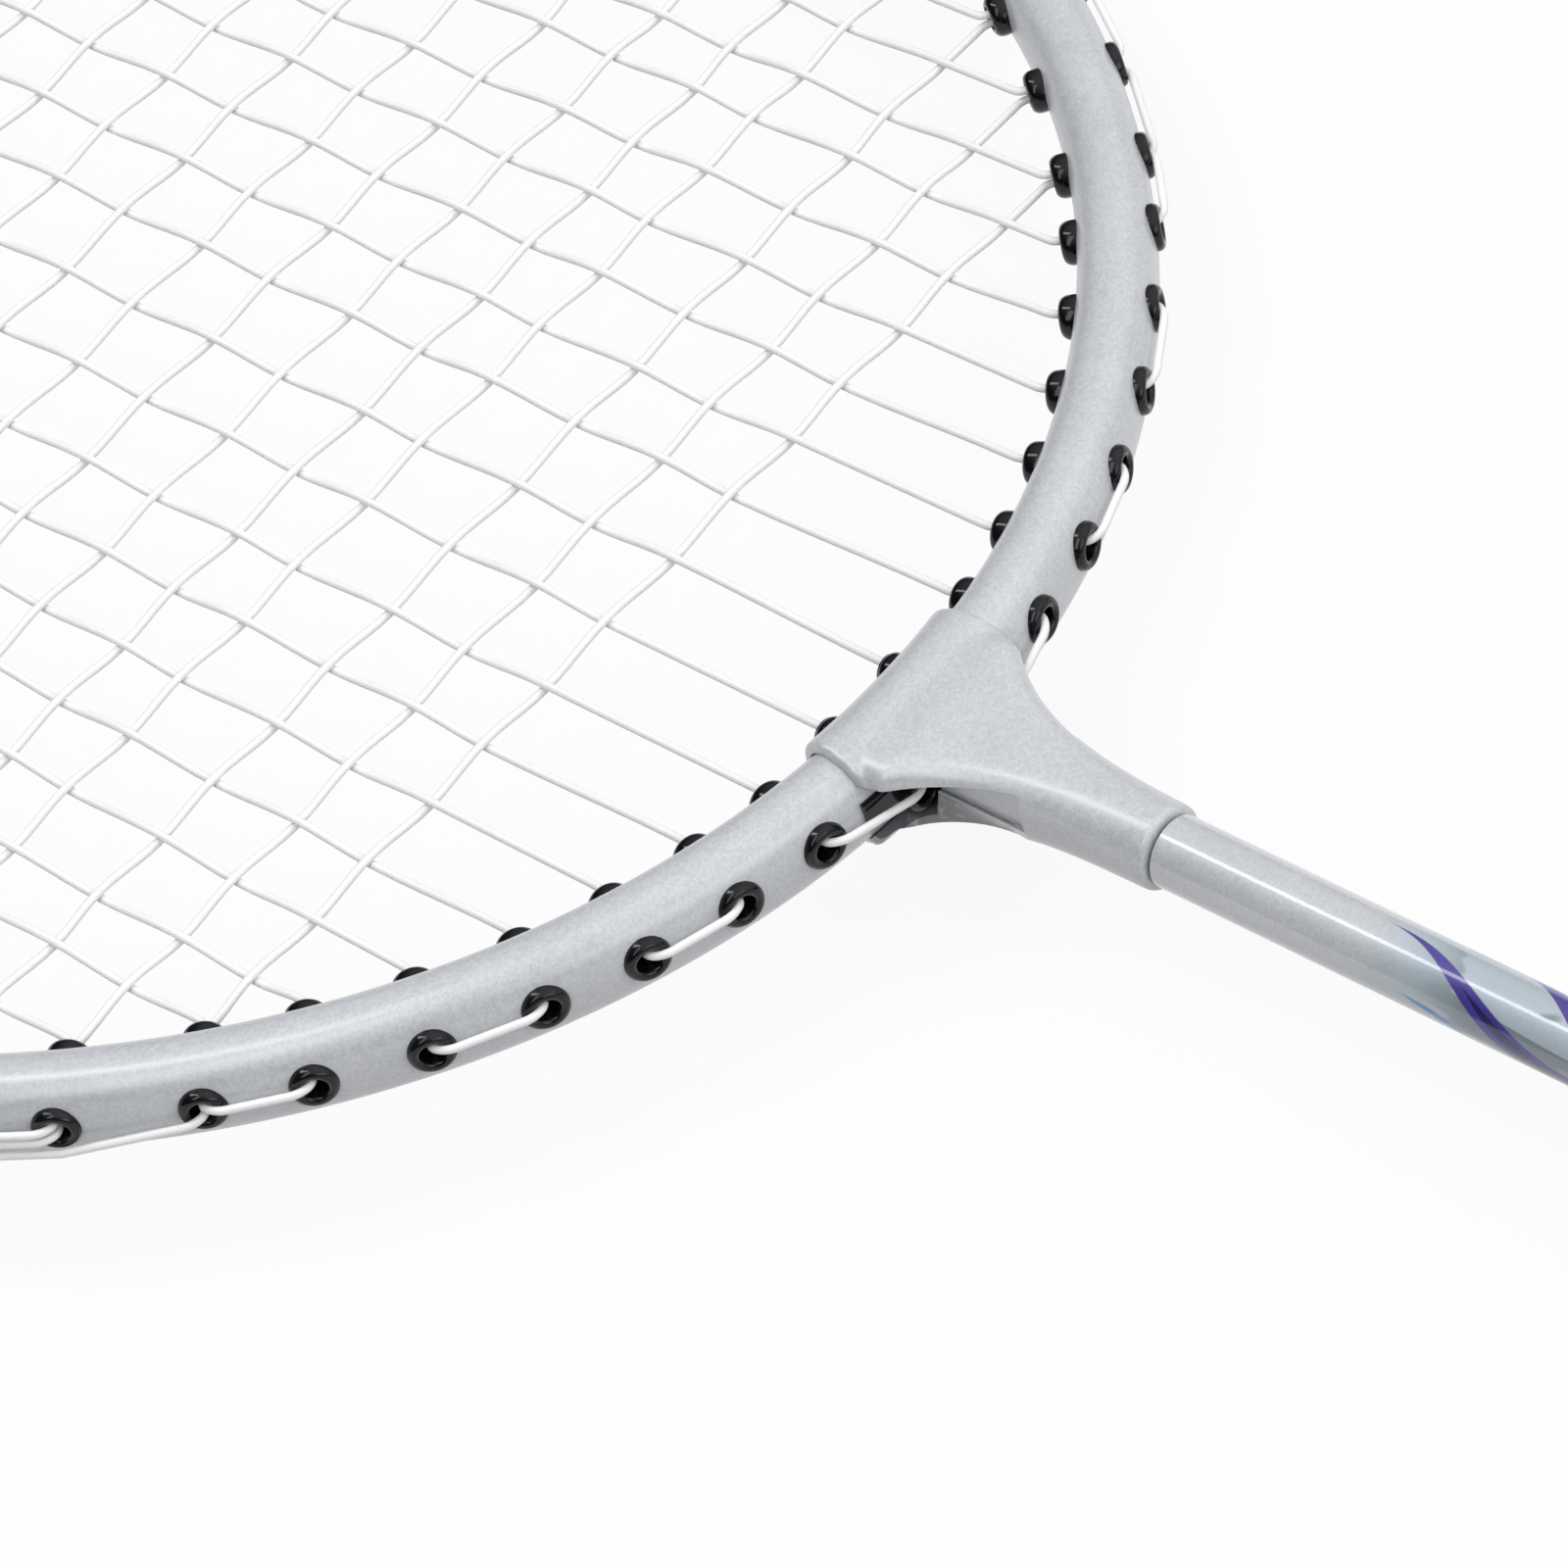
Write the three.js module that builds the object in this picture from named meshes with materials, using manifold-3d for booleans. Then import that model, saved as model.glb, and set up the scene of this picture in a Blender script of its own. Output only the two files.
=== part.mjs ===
import * as THREE from 'three';
import { mergeVertices } from 'three/addons/utils/BufferGeometryUtils.js';
import Module from 'manifold-3d';

const wasm = await Module();
wasm.setup();

// Badminton racket in millimetres. It lies flat: +Y runs from the butt to the crown of the head,
// +X across the head, +Z up out of the strings, and the origin is the middle of the butt's end face.

// Whole racket
const overallLength = 672;
const fitGap = 0.3;
const cutOverrun = 2;

// Head: an elliptical hoop of hollow oval tube
const headWidth = 200;
const headLength = 243.5;
const tubeWidth = 7.5;
const tubeHeight = 9.4;
const tubeWall = 1.1;
const tubeOutlineShares = [[1, 0.52], [0.78, 0.84], [0.34, 1]];
const tubeBoreShares = [[1, 0.66], [0.56, 1]];
const hoopSteps = 56;
const hoopEndGap = 0.4;

// Splice plug inside the two ends of the hoop
const spliceLength = 44;
const spliceSteps = 6;

// Strings: the mains run along the racket, the crosses across it, one layer over the other
const stringDiameter = 0.7;
const stringLayerRise = 0.56;
const stringSides = 5;
const mainPlaceShares = [0.049, 0.151, 0.24, 0.329, 0.417, 0.506, 0.59, 0.668, 0.748, 0.82, 0.892];
const crossCount = 19;
const lowestCrossShare = -0.755;
const highestCrossShare = 0.884;
const knotRadius = 0.8;
const knotRise = 1.2;
const knotLength = 2.2;
const runTurnLength = 0.9;
const boreExitRise = 0.1;
const crossTieHoles = 2;
const gapSampleDiameters = 2;
const gapSkipDiameters = 8;

// Grommets: a collar outside the hoop, a barrel through it and a flared lip inside it
const grommetSides = 6;
const grommetBoreRadius = 1.4;
const grommetBarrelRadius = 1.85;
const grommetCollarRadius = 2.5;
const grommetCollarHeight = 0.8;
const grommetCollarChamfer = 0.25;
const grommetLipRadius = 2.25;
const grommetLipRim = 0.25;
const grommetLipHeight = 1.25;
const sharedHoleSpacing = 5.3;

// Grommet strips: single barrels joined by a thin band along the outside of the hoop
const stripWidth = 4;
const stripBarrelReach = 1;
const stripEndLength = 3.2;
const stripSteps = 8;
const crownMainCount = 4;

// Throat joint: a sleeve round the hoop's ends that narrows into the neck over the shaft
const throatWall = 0.8;
const throatHalfWidth = 9.3;
const throatSteps = 4;
const neckLength = 29.7;
const neckRootDepth = 5;
const neckRootHalfWidth = 9.8;
const neckRootHalfHeight = 5.6;
const neckEndRadius = 4.1;
const neckSides = 16;
const neckStationShares = [0, 0.08, 0.17, 0.27, 0.38, 0.52, 0.72, 1];
const neckWidthPower = 3.8;
const neckHeightPower = 1.8;
const neckRootSquareness = 3;
const neckEndSquareness = 2;
const windowRise = 2.5;
const windowDrop = 3;
const windowEndDepth = 15.6;
const webRootHalfWidth = 2.6;
const webEndHalfWidth = 3.7;
const webStraightDepth = 7;
const tenonRadius = 2.3;
const tenonLength = 22;

// Throat grommet strips, one in each window of the throat joint
const throatStripInnerReach = 1.9;
const throatStripOuterReach = 5.6;

// Shaft
const shaftDiameter = 6.9;
const shaftWall = 0.85;
const shaftSides = 16;
const shaftSeatLength = 48;

// Handle core of wood, an octagon
const coreWidth = 22;
const coreHeight = 20;
const coreLength = 170;
const coreBevelShare = 0.3;
const shaftBoreClearance = 0.3;

// Cone between the handle and the shaft
const coneLength = 28;
const coneCollarLength = 4;
const coneTipRadius = 5.4;
const coneSides = 16;
const coneTipRounding = 0.8;
const coneStationShares = [0, 0.3, 0.62, 1];
const coneTaperPower = 0.75;

// Butt cap
const capFloor = 2.5;
const capSkirtLength = 12;
const capFlare = 1.3;
const capEdgeBevel = 0.8;
const capFlareShares = [0.55, 0.8];

// Grip: a tape wound round the core, and the finishing tape round its upper end
const gripThickness = 1.6;
const gripTapeWidth = 22.6;
const gripTurnGap = 0.5;
const gripShortfall = 6.5;
const gripStartWidth = 1.5;
const gripTurnSides = 16;
const endTapeThickness = 0.4;
const endTapeOverGrip = 9;
const endTapeOverCone = 3.5;

// Angles
const quarterTurn = Math.PI / 2;
const halvingSteps = 50;

// Sizes that follow from the ones above
const hoopHalfWidth = headWidth / 2 - tubeWidth / 2;
const hoopHalfLength = headLength / 2 - tubeWidth / 2;
const headCentreY = overallLength - headLength / 2;
const innerHalfWidth = hoopHalfWidth - tubeWidth / 2;
const innerHalfLength = hoopHalfLength - tubeWidth / 2;
const throatY = headCentreY - hoopHalfLength;
const stringRadius = stringDiameter / 2;
const collarSeat = tubeWidth / 2 + fitGap;
const collarTop = collarSeat + grommetCollarHeight;
const lipTip = -collarSeat - grommetLipHeight;
const runHeight = collarTop + fitGap + stringRadius;
const drillRadius = grommetBarrelRadius + fitGap / Math.cos(Math.PI / grommetSides);
const neckEndY = throatY - neckLength;
const shaftTopY = neckEndY - fitGap;
const coreBottomY = capFloor + fitGap;
const coreTopY = coreBottomY + coreLength;
const coneBottomY = coreTopY + fitGap;
const shaftBottomY = coreTopY - shaftSeatLength;
const shaftRadius = shaftDiameter / 2;
const shaftBoreRadius = shaftRadius + shaftBoreClearance;
const gripBottomY = capSkirtLength + fitGap;
const gripTopY = coreTopY - gripShortfall;
const gripLength = gripTopY - gripBottomY;
const gripOffset = fitGap + gripThickness;

const silverPaint = { color: 0xb2b7bd, roughness: 0.38, metalness: 0.6 };
const clearCoatSilver = { color: 0xb5bac0, roughness: 0.22, metalness: 0.6 };
const blackNylon = { color: 0x14161a, roughness: 0.3, metalness: 0 };
const whiteString = { color: 0xf2f3f1, roughness: 0.4, metalness: 0 };
const darkPlastic = { color: 0x202226, roughness: 0.45, metalness: 0 };
const paleWood = { color: 0xcaa878, roughness: 0.7, metalness: 0 };
const gripTape = { color: 0x26282c, roughness: 0.8, metalness: 0 };
const endTape = { color: 0x3a3d44, roughness: 0.5, metalness: 0 };

const racket = new THREE.Group();

function addPiece(name, geometry, look) {
  const mesh = new THREE.Mesh(geometry, new THREE.MeshStandardMaterial(look));
  mesh.name = name;
  racket.add(mesh);
  return mesh;
}

// Solids for cutting and joining
function solidOf(geometry) {
  const bare = geometry.clone();
  bare.deleteAttribute('normal');
  bare.deleteAttribute('uv');
  const welded = mergeVertices(bare);
  const vertProperties = new Float32Array(welded.attributes.position.array);
  const triVerts = new Uint32Array(welded.index.array);
  return new wasm.Manifold(new wasm.Mesh({ numProp: 3, vertProperties, triVerts }));
}

function geometryOf(solid) {
  const mesh = solid.getMesh();
  const geometry = new THREE.BufferGeometry();
  geometry.setAttribute('position', new THREE.BufferAttribute(new Float32Array(mesh.vertProperties), 3));
  geometry.setIndex(new THREE.BufferAttribute(new Uint32Array(mesh.triVerts), 1));
  geometry.computeVertexNormals();
  return geometry;
}

function addAll(first, others) {
  return others.reduce((sum, other) => sum.add(other), first);
}

function subtractAll(first, others) {
  return others.reduce((rest, other) => rest.subtract(other), first);
}

// Closed skin through rings of equal point counts, each ring counter-clockwise seen from the last one
function loft(rings) {
  const ringSize = rings[0].length;
  const positions = [];
  const faces = [];
  rings.forEach((ring) => ring.forEach((point) => positions.push(point.x, point.y, point.z)));
  for (let row = 0; row < rings.length - 1; row += 1) {
    for (let side = 0; side < ringSize; side += 1) {
      const next = (side + 1) % ringSize;
      const here = row * ringSize;
      const above = here + ringSize;
      faces.push(here + side, here + next, above + next);
      faces.push(here + side, above + next, above + side);
    }
  }
  const last = (rings.length - 1) * ringSize;
  for (let side = 1; side < ringSize - 1; side += 1) {
    faces.push(0, side + 1, side);
    faces.push(last, last + side, last + side + 1);
  }
  const geometry = new THREE.BufferGeometry();
  geometry.setAttribute('position', new THREE.Float32BufferAttribute(positions, 3));
  geometry.setIndex(faces);
  geometry.computeVertexNormals();
  return geometry;
}

// Rounded outline between an ellipse (squareness 2) and a box, as x and y pairs
function roundedOutline(halfWidth, halfHeight, squareness, sides) {
  const outline = [];
  for (let side = 0; side < sides; side += 1) {
    const turn = (side / sides) * 2 * Math.PI;
    const across = Math.sign(Math.cos(turn)) * Math.abs(Math.cos(turn)) ** (2 / squareness);
    const up = Math.sign(Math.sin(turn)) * Math.abs(Math.sin(turn)) ** (2 / squareness);
    outline.push(new THREE.Vector2(halfWidth * across, halfHeight * up));
  }
  return outline;
}

// Hoop centreline, in angles round the head: 0 is +X, a quarter turn is the crown
class HoopCurve extends THREE.Curve {
  constructor(startAngle, endAngle) {
    super();
    this.startAngle = startAngle;
    this.endAngle = endAngle;
  }

  getPoint(share, target = new THREE.Vector3()) {
    const angle = this.startAngle + (this.endAngle - this.startAngle) * share;
    const x = hoopHalfWidth * Math.cos(angle);
    const y = headCentreY + hoopHalfLength * Math.sin(angle);
    return target.set(x, y, 0);
  }
}

function hoopNormal(angle) {
  const normal = new THREE.Vector3(hoopHalfLength * Math.cos(angle), hoopHalfWidth * Math.sin(angle), 0);
  return normal.normalize();
}

function hoopPoint(angle, outward, rise = 0) {
  const point = new HoopCurve(angle, angle).getPoint(0);
  point.addScaledVector(hoopNormal(angle), outward);
  point.z = rise;
  return point;
}

// Angle where a falling measure of the hoop reaches a value
function angleWhere(measure, value, lowAngle, highAngle) {
  let low = lowAngle;
  let high = highAngle;
  for (let step = 0; step < halvingSteps; step += 1) {
    const middle = (low + high) / 2;
    if (measure(middle) > value) {
      low = middle;
    } else {
      high = middle;
    }
  }
  return (low + high) / 2;
}

const innerWallX = (angle) => hoopPoint(angle, -tubeWidth / 2).x;
const innerWallDrop = (angle) => -hoopPoint(angle, -tubeWidth / 2).y;
const angleAcross = (x) => angleWhere(innerWallX, x, 0, quarterTurn);
const angleAlong = (y) => angleWhere(innerWallDrop, -y, -quarterTurn, quarterTurn);
const hoopSpeed = Math.hypot(hoopHalfWidth, hoopHalfLength) / Math.SQRT2;

// Sections in the hoop's plane: the outline's x is up and down, its y is towards the head's middle
function sweepOnHoop(outline, startAngle, endAngle, steps) {
  const path = new HoopCurve(startAngle, endAngle);
  return new THREE.ExtrudeGeometry(new THREE.Shape(outline), { steps, extrudePath: path });
}

// The tube's outline from the shares of one quarter: flat sides where the strings pass, round edges
function tubeSection(growth, quarterShares) {
  const halfHeight = tubeHeight / 2 + growth;
  const halfWidth = tubeWidth / 2 + growth;
  const quarter = quarterShares.map(([wide, high]) => [high * halfHeight, wide * halfWidth]);
  const back = [...quarter].reverse();
  return [
    ...quarter.map(([x, y]) => new THREE.Vector2(x, -y)),
    ...back.map(([x, y]) => new THREE.Vector2(x, y)),
    ...quarter.map(([x, y]) => new THREE.Vector2(-x, y)),
    ...back.map(([x, y]) => new THREE.Vector2(-x, -y)),
  ];
}

function bandSection(halfRise, innerOutward, outerOutward) {
  return [
    new THREE.Vector2(-halfRise, -outerOutward),
    new THREE.Vector2(halfRise, -outerOutward),
    new THREE.Vector2(halfRise, -innerOutward),
    new THREE.Vector2(-halfRise, -innerOutward),
  ];
}

// Turned pieces and cylinders that stand on the hoop, their axis along its outward normal
function placeOnHoop(geometry, angle) {
  const normal = hoopNormal(angle);
  const centre = hoopPoint(angle, 0);
  geometry.rotateZ(Math.atan2(normal.y, normal.x) - quarterTurn);
  geometry.translate(centre.x, centre.y, centre.z);
  return geometry;
}

function pegOnHoop(angle, radius, innerOutward, outerOutward) {
  const peg = new THREE.CylinderGeometry(radius, radius, outerOutward - innerOutward, grommetSides);
  peg.translate(0, (innerOutward + outerOutward) / 2, 0);
  return solidOf(placeOnHoop(peg, angle));
}

// Holes of the right half, from the throat up to the crown: a main and a cross that end close
// together share one hole
function planHoles() {
  const ends = [];
  mainPlaceShares.forEach((share, index) => {
    const angle = angleAcross(share * innerHalfWidth);
    ends.push({ angle: -angle, mainBottom: index });
    ends.push({ angle, mainTop: index });
  });
  for (let index = 0; index < crossCount; index += 1) {
    const share = lowestCrossShare + ((highestCrossShare - lowestCrossShare) * index) / (crossCount - 1);
    ends.push({ angle: angleAlong(headCentreY + share * innerHalfLength), cross: index });
  }
  ends.sort((one, other) => one.angle - other.angle);
  const holes = [];
  ends.forEach((end) => {
    const before = holes[holes.length - 1];
    const spacing = before ? hoopPoint(before.angle, 0).distanceTo(hoopPoint(end.angle, 0)) : Infinity;
    const crossMet = before && (before.cross === undefined) !== (end.cross === undefined);
    if (spacing < sharedHoleSpacing && crossMet) {
      const angle = (before.angle + end.angle) / 2;
      Object.assign(before, end, { angle });
    } else {
      holes.push({ ...end });
    }
  });
  return holes;
}

const holes = planHoles();
const holeWith = (key, index) => holes.findIndex((hole) => hole[key] === index);
const sideAngle = (angle, side) => (side > 0 ? angle : Math.PI - angle);

// Head frame
function makeHeadFrame() {
  const endTurn = hoopEndGap / 2 / hoopHalfWidth;
  const start = -quarterTurn + endTurn;
  const end = 3 * quarterTurn - endTurn;
  const outer = solidOf(sweepOnHoop(tubeSection(0, tubeOutlineShares), start, end, hoopSteps));
  const boreSection = tubeSection(-tubeWall, tubeBoreShares);
  const bore = solidOf(sweepOnHoop(boreSection, start - endTurn / 2, end + endTurn / 2, hoopSteps));
  return geometryOf(subtractAll(outer.subtract(bore), allDrills()));
}

function allDrills() {
  const drills = [];
  const reach = tubeWidth / 2 + cutOverrun;
  holes.forEach((hole) => {
    drills.push(pegOnHoop(hole.angle, drillRadius, -reach, reach));
    drills.push(pegOnHoop(sideAngle(hole.angle, -1), drillRadius, -reach, reach));
  });
  return drills;
}

function makeSplice() {
  const halfTurn = spliceLength / 2 / hoopHalfWidth;
  const section = tubeSection(-tubeWall - fitGap, tubeBoreShares);
  const sweep = sweepOnHoop(section, -quarterTurn - halfTurn, -quarterTurn + halfTurn, spliceSteps);
  return geometryOf(subtractAll(solidOf(sweep), allDrills()));
}

// Throat joint
function neckHalfWidth(share) {
  return neckEndRadius + (neckRootHalfWidth - neckEndRadius) * (1 - share) ** neckWidthPower;
}

function neckHalfHeight(share) {
  return neckEndRadius + (neckRootHalfHeight - neckEndRadius) * (1 - share) ** neckHeightPower;
}

function neckRing(share, y) {
  const squareness = neckRootSquareness + (neckEndSquareness - neckRootSquareness) * share;
  const outline = roundedOutline(neckHalfWidth(share), neckHalfHeight(share), squareness, neckSides);
  return outline.map((point) => new THREE.Vector3(point.x, y, point.y));
}

function neckY(share) {
  return throatY - neckRootDepth - (neckLength - neckRootDepth) * share;
}

function makeThroatJoint() {
  const wingEnd = -angleAcross(throatHalfWidth);
  const channelEnd = wingEnd + cutOverrun / hoopHalfWidth;
  const acrossThroat = (end, growth) => {
    const start = sideAngle(end, -1) - 2 * Math.PI;
    return solidOf(sweepOnHoop(tubeSection(growth, tubeOutlineShares), start, end, throatSteps));
  };
  const sleeve = acrossThroat(wingEnd, fitGap + throatWall);
  const rings = neckStationShares.map((share) => neckRing(share, neckY(share)));
  rings.unshift(neckRing(0, throatY));
  const neck = solidOf(loft(rings));
  const fullTenon = tenonLength + neckRootDepth;
  const tenon = new THREE.CylinderGeometry(tenonRadius, tenonRadius, fullTenon, shaftSides);
  tenon.translate(0, neckEndY + neckRootDepth - fullTenon / 2, 0);
  const body = addAll(sleeve, [neck, solidOf(tenon)]);
  const firstMain = holes[holeWith('mainBottom', 0)].angle;
  const reach = collarTop + cutOverrun;
  const cuts = [acrossThroat(channelEnd, fitGap)];
  [1, -1].forEach((side) => {
    cuts.push(windowCutter(side));
    cuts.push(pegOnHoop(sideAngle(firstMain, side), drillRadius, -reach, 0));
  });
  return geometryOf(subtractAll(body, cuts));
}

function windowCutter(side) {
  const windowEnd = throatY - windowEndDepth;
  const windowEdge = throatHalfWidth + tubeWidth;
  const outline = new THREE.Shape([
    new THREE.Vector2(webRootHalfWidth, throatY),
    new THREE.Vector2(webRootHalfWidth, throatY - webStraightDepth),
    new THREE.Vector2(webEndHalfWidth, windowEnd),
    new THREE.Vector2(windowEdge, windowEnd),
    new THREE.Vector2(windowEdge, throatY),
  ]);
  const windowHeight = windowRise + windowDrop;
  const cutter = new THREE.ExtrudeGeometry(outline, { depth: windowHeight, bevelEnabled: false });
  cutter.translate(0, 0, -windowDrop);
  if (side < 0) {
    cutter.rotateY(Math.PI);
    cutter.translate(0, 0, windowRise - windowDrop);
  }
  return solidOf(cutter);
}

// Grommets
function makeGrommet() {
  const profile = [
    [grommetBoreRadius, lipTip],
    [grommetLipRadius, -collarSeat - grommetLipRim],
    [grommetLipRadius, -collarSeat],
    [grommetBarrelRadius, -collarSeat],
    [grommetBarrelRadius, collarSeat],
    [grommetCollarRadius, collarSeat],
    [grommetCollarRadius, collarTop - grommetCollarChamfer],
    [grommetBoreRadius + grommetCollarChamfer, collarTop],
    [grommetBoreRadius, collarTop - grommetCollarChamfer],
    [grommetBoreRadius, lipTip],
  ];
  const outline = profile.map(([radius, y]) => new THREE.Vector2(radius, y));
  return new THREE.LatheGeometry(outline, grommetSides);
}

function addGrommet(name, geometry, angle) {
  const normal = hoopNormal(angle);
  const mesh = addPiece(name, geometry, blackNylon);
  mesh.position.copy(hoopPoint(angle, 0));
  mesh.rotation.z = Math.atan2(normal.y, normal.x) - quarterTurn;
}

function makeStrip(angles, startAngle, endAngle, steps, innerReach) {
  const section = bandSection(stripWidth / 2, collarSeat, collarTop);
  const band = solidOf(sweepOnHoop(section, startAngle, endAngle, steps));
  const barrelEnd = -collarSeat - innerReach;
  const barrelTop = (collarSeat + collarTop) / 2;
  const barrels = angles.map((angle) => pegOnHoop(angle, grommetBarrelRadius, barrelEnd, barrelTop));
  const reach = collarTop + innerReach + cutOverrun;
  const bores = angles.map((angle) => pegOnHoop(angle, grommetBoreRadius, -reach, reach));
  return geometryOf(subtractAll(addAll(band, barrels), bores));
}

function addStrips() {
  const endTurn = stripEndLength / hoopSpeed;
  const crownStart = holeWith('mainTop', crownMainCount - 1);
  const crownAngles = holes.slice(crownStart).map((hole) => hole.angle);
  const crownBoth = [...crownAngles, ...crownAngles.map((angle) => sideAngle(angle, -1))];
  const crownTurn = crownAngles[0] - endTurn;
  const reach = stripBarrelReach;
  const crown = makeStrip(crownBoth, crownTurn, sideAngle(crownTurn, -1), stripSteps * 2, reach);
  addPiece('crown_grommet_strip', crown, blackNylon);
  const shoulderStart = holeWith('mainTop', mainPlaceShares.length - 1);
  const angles = holes.slice(shoulderStart, crownStart).map((hole) => hole.angle);
  const mirrored = angles.map((angle) => sideAngle(angle, -1));
  const low = angles[0] - endTurn;
  const high = angles[angles.length - 1] + endTurn;
  const right = makeStrip(angles, low, high, stripSteps, reach);
  const left = makeStrip(mirrored, sideAngle(high, -1), sideAngle(low, -1), stripSteps, reach);
  addPiece('shoulder_grommet_strip_right', right, blackNylon);
  addPiece('shoulder_grommet_strip_left', left, blackNylon);
  return shoulderStart;
}

function addThroatStrips() {
  const angle = holes[holeWith('mainBottom', 0)].angle;
  const low = angle - throatStripInnerReach / hoopHalfWidth;
  const high = angle + throatStripOuterReach / hoopHalfWidth;
  const reach = throatWall + stripBarrelReach;
  const right = makeStrip([angle], low, high, 1, reach);
  const left = makeStrip([sideAngle(angle, -1)], sideAngle(high, -1), sideAngle(low, -1), 1, reach);
  addPiece('throat_grommet_strip_right', right, blackNylon);
  addPiece('throat_grommet_strip_left', left, blackNylon);
}

function addGrommets() {
  const geometry = makeGrommet();
  const firstShoulder = addStrips();
  addThroatStrips();
  for (let index = 1; index < firstShoulder; index += 1) {
    const number = String(index).padStart(2, '0');
    addGrommet(`grommet_right_${number}`, geometry, holes[index].angle);
    addGrommet(`grommet_left_${number}`, geometry, sideAngle(holes[index].angle, -1));
  }
}

// Strings
function bendTube(points, radii) {
  const rings = [];
  let across = new THREE.Vector3(0, 0, 1);
  points.forEach((point, index) => {
    const before = index > 0 ? point.clone().sub(points[index - 1]).normalize() : null;
    const after = index < points.length - 1 ? points[index + 1].clone().sub(point).normalize() : null;
    const along = (before ?? after).clone().add(after ?? before).normalize();
    const stretch = 1 / along.dot(after ?? before);
    across = across.clone().addScaledVector(along, -across.dot(along)).normalize();
    const flat = along.clone().cross(across);
    const bend = before && after ? after.clone().sub(before) : new THREE.Vector3();
    const bends = bend.lengthSq() > 0;
    const inward = bends ? bend.addScaledVector(along, -bend.dot(along)).normalize() : flat;
    rings.push(tubeRing(point, across, flat, inward, radii[index], stretch));
  });
  return loft(rings);
}

function tubeRing(centre, across, flat, inward, radius, stretch) {
  const ring = [];
  for (let side = 0; side < stringSides; side += 1) {
    const turn = (side / stringSides) * 2 * Math.PI;
    const spoke = across.clone().multiplyScalar(Math.cos(turn) * radius);
    spoke.addScaledVector(flat, Math.sin(turn) * radius);
    spoke.addScaledVector(inward, spoke.dot(inward) * (stretch - 1));
    ring.push(centre.clone().add(spoke));
  }
  return ring;
}

function insideTurn(angle, rise) {
  return hoopPoint(angle, lipTip - fitGap - stringRadius, rise);
}

// Outside run from one hole to another; it passes each hole between them beside that hole's collar
function outsideRun(fromHole, toHole, side, rise, endRise = rise) {
  const angleOf = (hole) => sideAngle(holes[hole].angle, side);
  const direction = Math.sign(toHole - fromHole);
  const passRise = Math.sign(rise) * (grommetCollarRadius + fitGap + stringRadius);
  const overHoles = [hoopPoint(angleOf(fromHole), runHeight, rise)];
  for (let hole = fromHole + direction; hole !== toHole; hole += direction) {
    overHoles.push(hoopPoint(angleOf(hole), runHeight, passRise));
  }
  overHoles.push(hoopPoint(angleOf(toHole), runHeight, endRise));
  const last = overHoles.length - 1;
  const leaving = overHoles[1].clone().sub(overHoles[0]).setLength(runTurnLength);
  const arriving = overHoles[last - 1].clone().sub(overHoles[last]).setLength(runTurnLength);
  overHoles[0].add(leaving);
  overHoles[last].add(arriving);
  const exitPoint = hoopPoint(angleOf(fromHole), collarTop + boreExitRise, rise);
  const entryPoint = hoopPoint(angleOf(toHole), collarTop + boreExitRise, endRise);
  return [exitPoint, ...overHoles, entryPoint];
}

// A string's loose end comes back in through another hole and ends in a knot against its lip
function knotTail(fromHole, toHole, side, rise, endRise = rise) {
  const angle = sideAngle(holes[toHole].angle, side);
  const lift = Math.sign(endRise) * knotRise;
  const inside = lipTip - fitGap;
  return [
    ...outsideRun(fromHole, toHole, side, rise, endRise),
    hoopPoint(angle, inside, endRise),
    hoopPoint(angle, inside - knotRadius, endRise + lift),
    hoopPoint(angle, inside - knotRadius - knotLength / 2, endRise + lift),
    hoopPoint(angle, inside - knotRadius - knotLength, endRise + lift),
  ];
}

function mainRoute() {
  const rise = stringLayerRise;
  const last = mainPlaceShares.length - 1;
  const half = (side) => {
    const points = [insideTurn(sideAngle(holes[holeWith('mainTop', 0)].angle, side), rise)];
    for (let index = 0; index <= last; index += 1) {
      const goesDown = index % 2 === 0;
      const endKey = goesDown ? 'mainBottom' : 'mainTop';
      const hole = holeWith(endKey, index);
      points.push(insideTurn(sideAngle(holes[hole].angle, side), rise));
      if (index < last) {
        const next = holeWith(endKey, index + 1);
        points.push(...outsideRun(hole, next, side, rise));
        points.push(insideTurn(sideAngle(holes[next].angle, side), rise));
      } else {
        points.push(...knotTail(hole, hole + (goesDown ? 1 : -1), side, rise));
      }
    }
    return points;
  };
  const crown = holes.length - 1;
  const exitRight = hoopPoint(holes[crown].angle, collarTop + boreExitRise, rise);
  const exitLeft = hoopPoint(sideAngle(holes[crown].angle, -1), collarTop + boreExitRise, rise);
  const runRight = hoopPoint(holes[crown].angle, runHeight, rise);
  const runLeft = hoopPoint(sideAngle(holes[crown].angle, -1), runHeight, rise);
  runRight.x -= runTurnLength;
  runLeft.x += runTurnLength;
  return [...half(-1).reverse(), exitLeft, runLeft, runRight, exitRight, ...half(1)];
}

function crossRoute() {
  const rise = -stringLayerRise;
  const last = crossCount - 1;
  const startHole = holeWith('cross', last);
  const points = knotTail(startHole, startHole + 1, 1, rise).reverse();
  for (let index = last; index >= 0; index -= 1) {
    const hole = holeWith('cross', index);
    const side = (last - index) % 2 === 0 ? 1 : -1;
    points.push(insideTurn(sideAngle(holes[hole].angle, side), rise));
    points.push(insideTurn(sideAngle(holes[hole].angle, -side), rise));
    if (index > 0) {
      points.push(...outsideRun(hole, holeWith('cross', index - 1), -side, rise));
    } else {
      const tieHole = holeWith('mainBottom', mainPlaceShares.length - 1) + crossTieHoles;
      points.push(...knotTail(hole, tieHole, -side, rise, -rise));
    }
  }
  return points;
}

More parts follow.
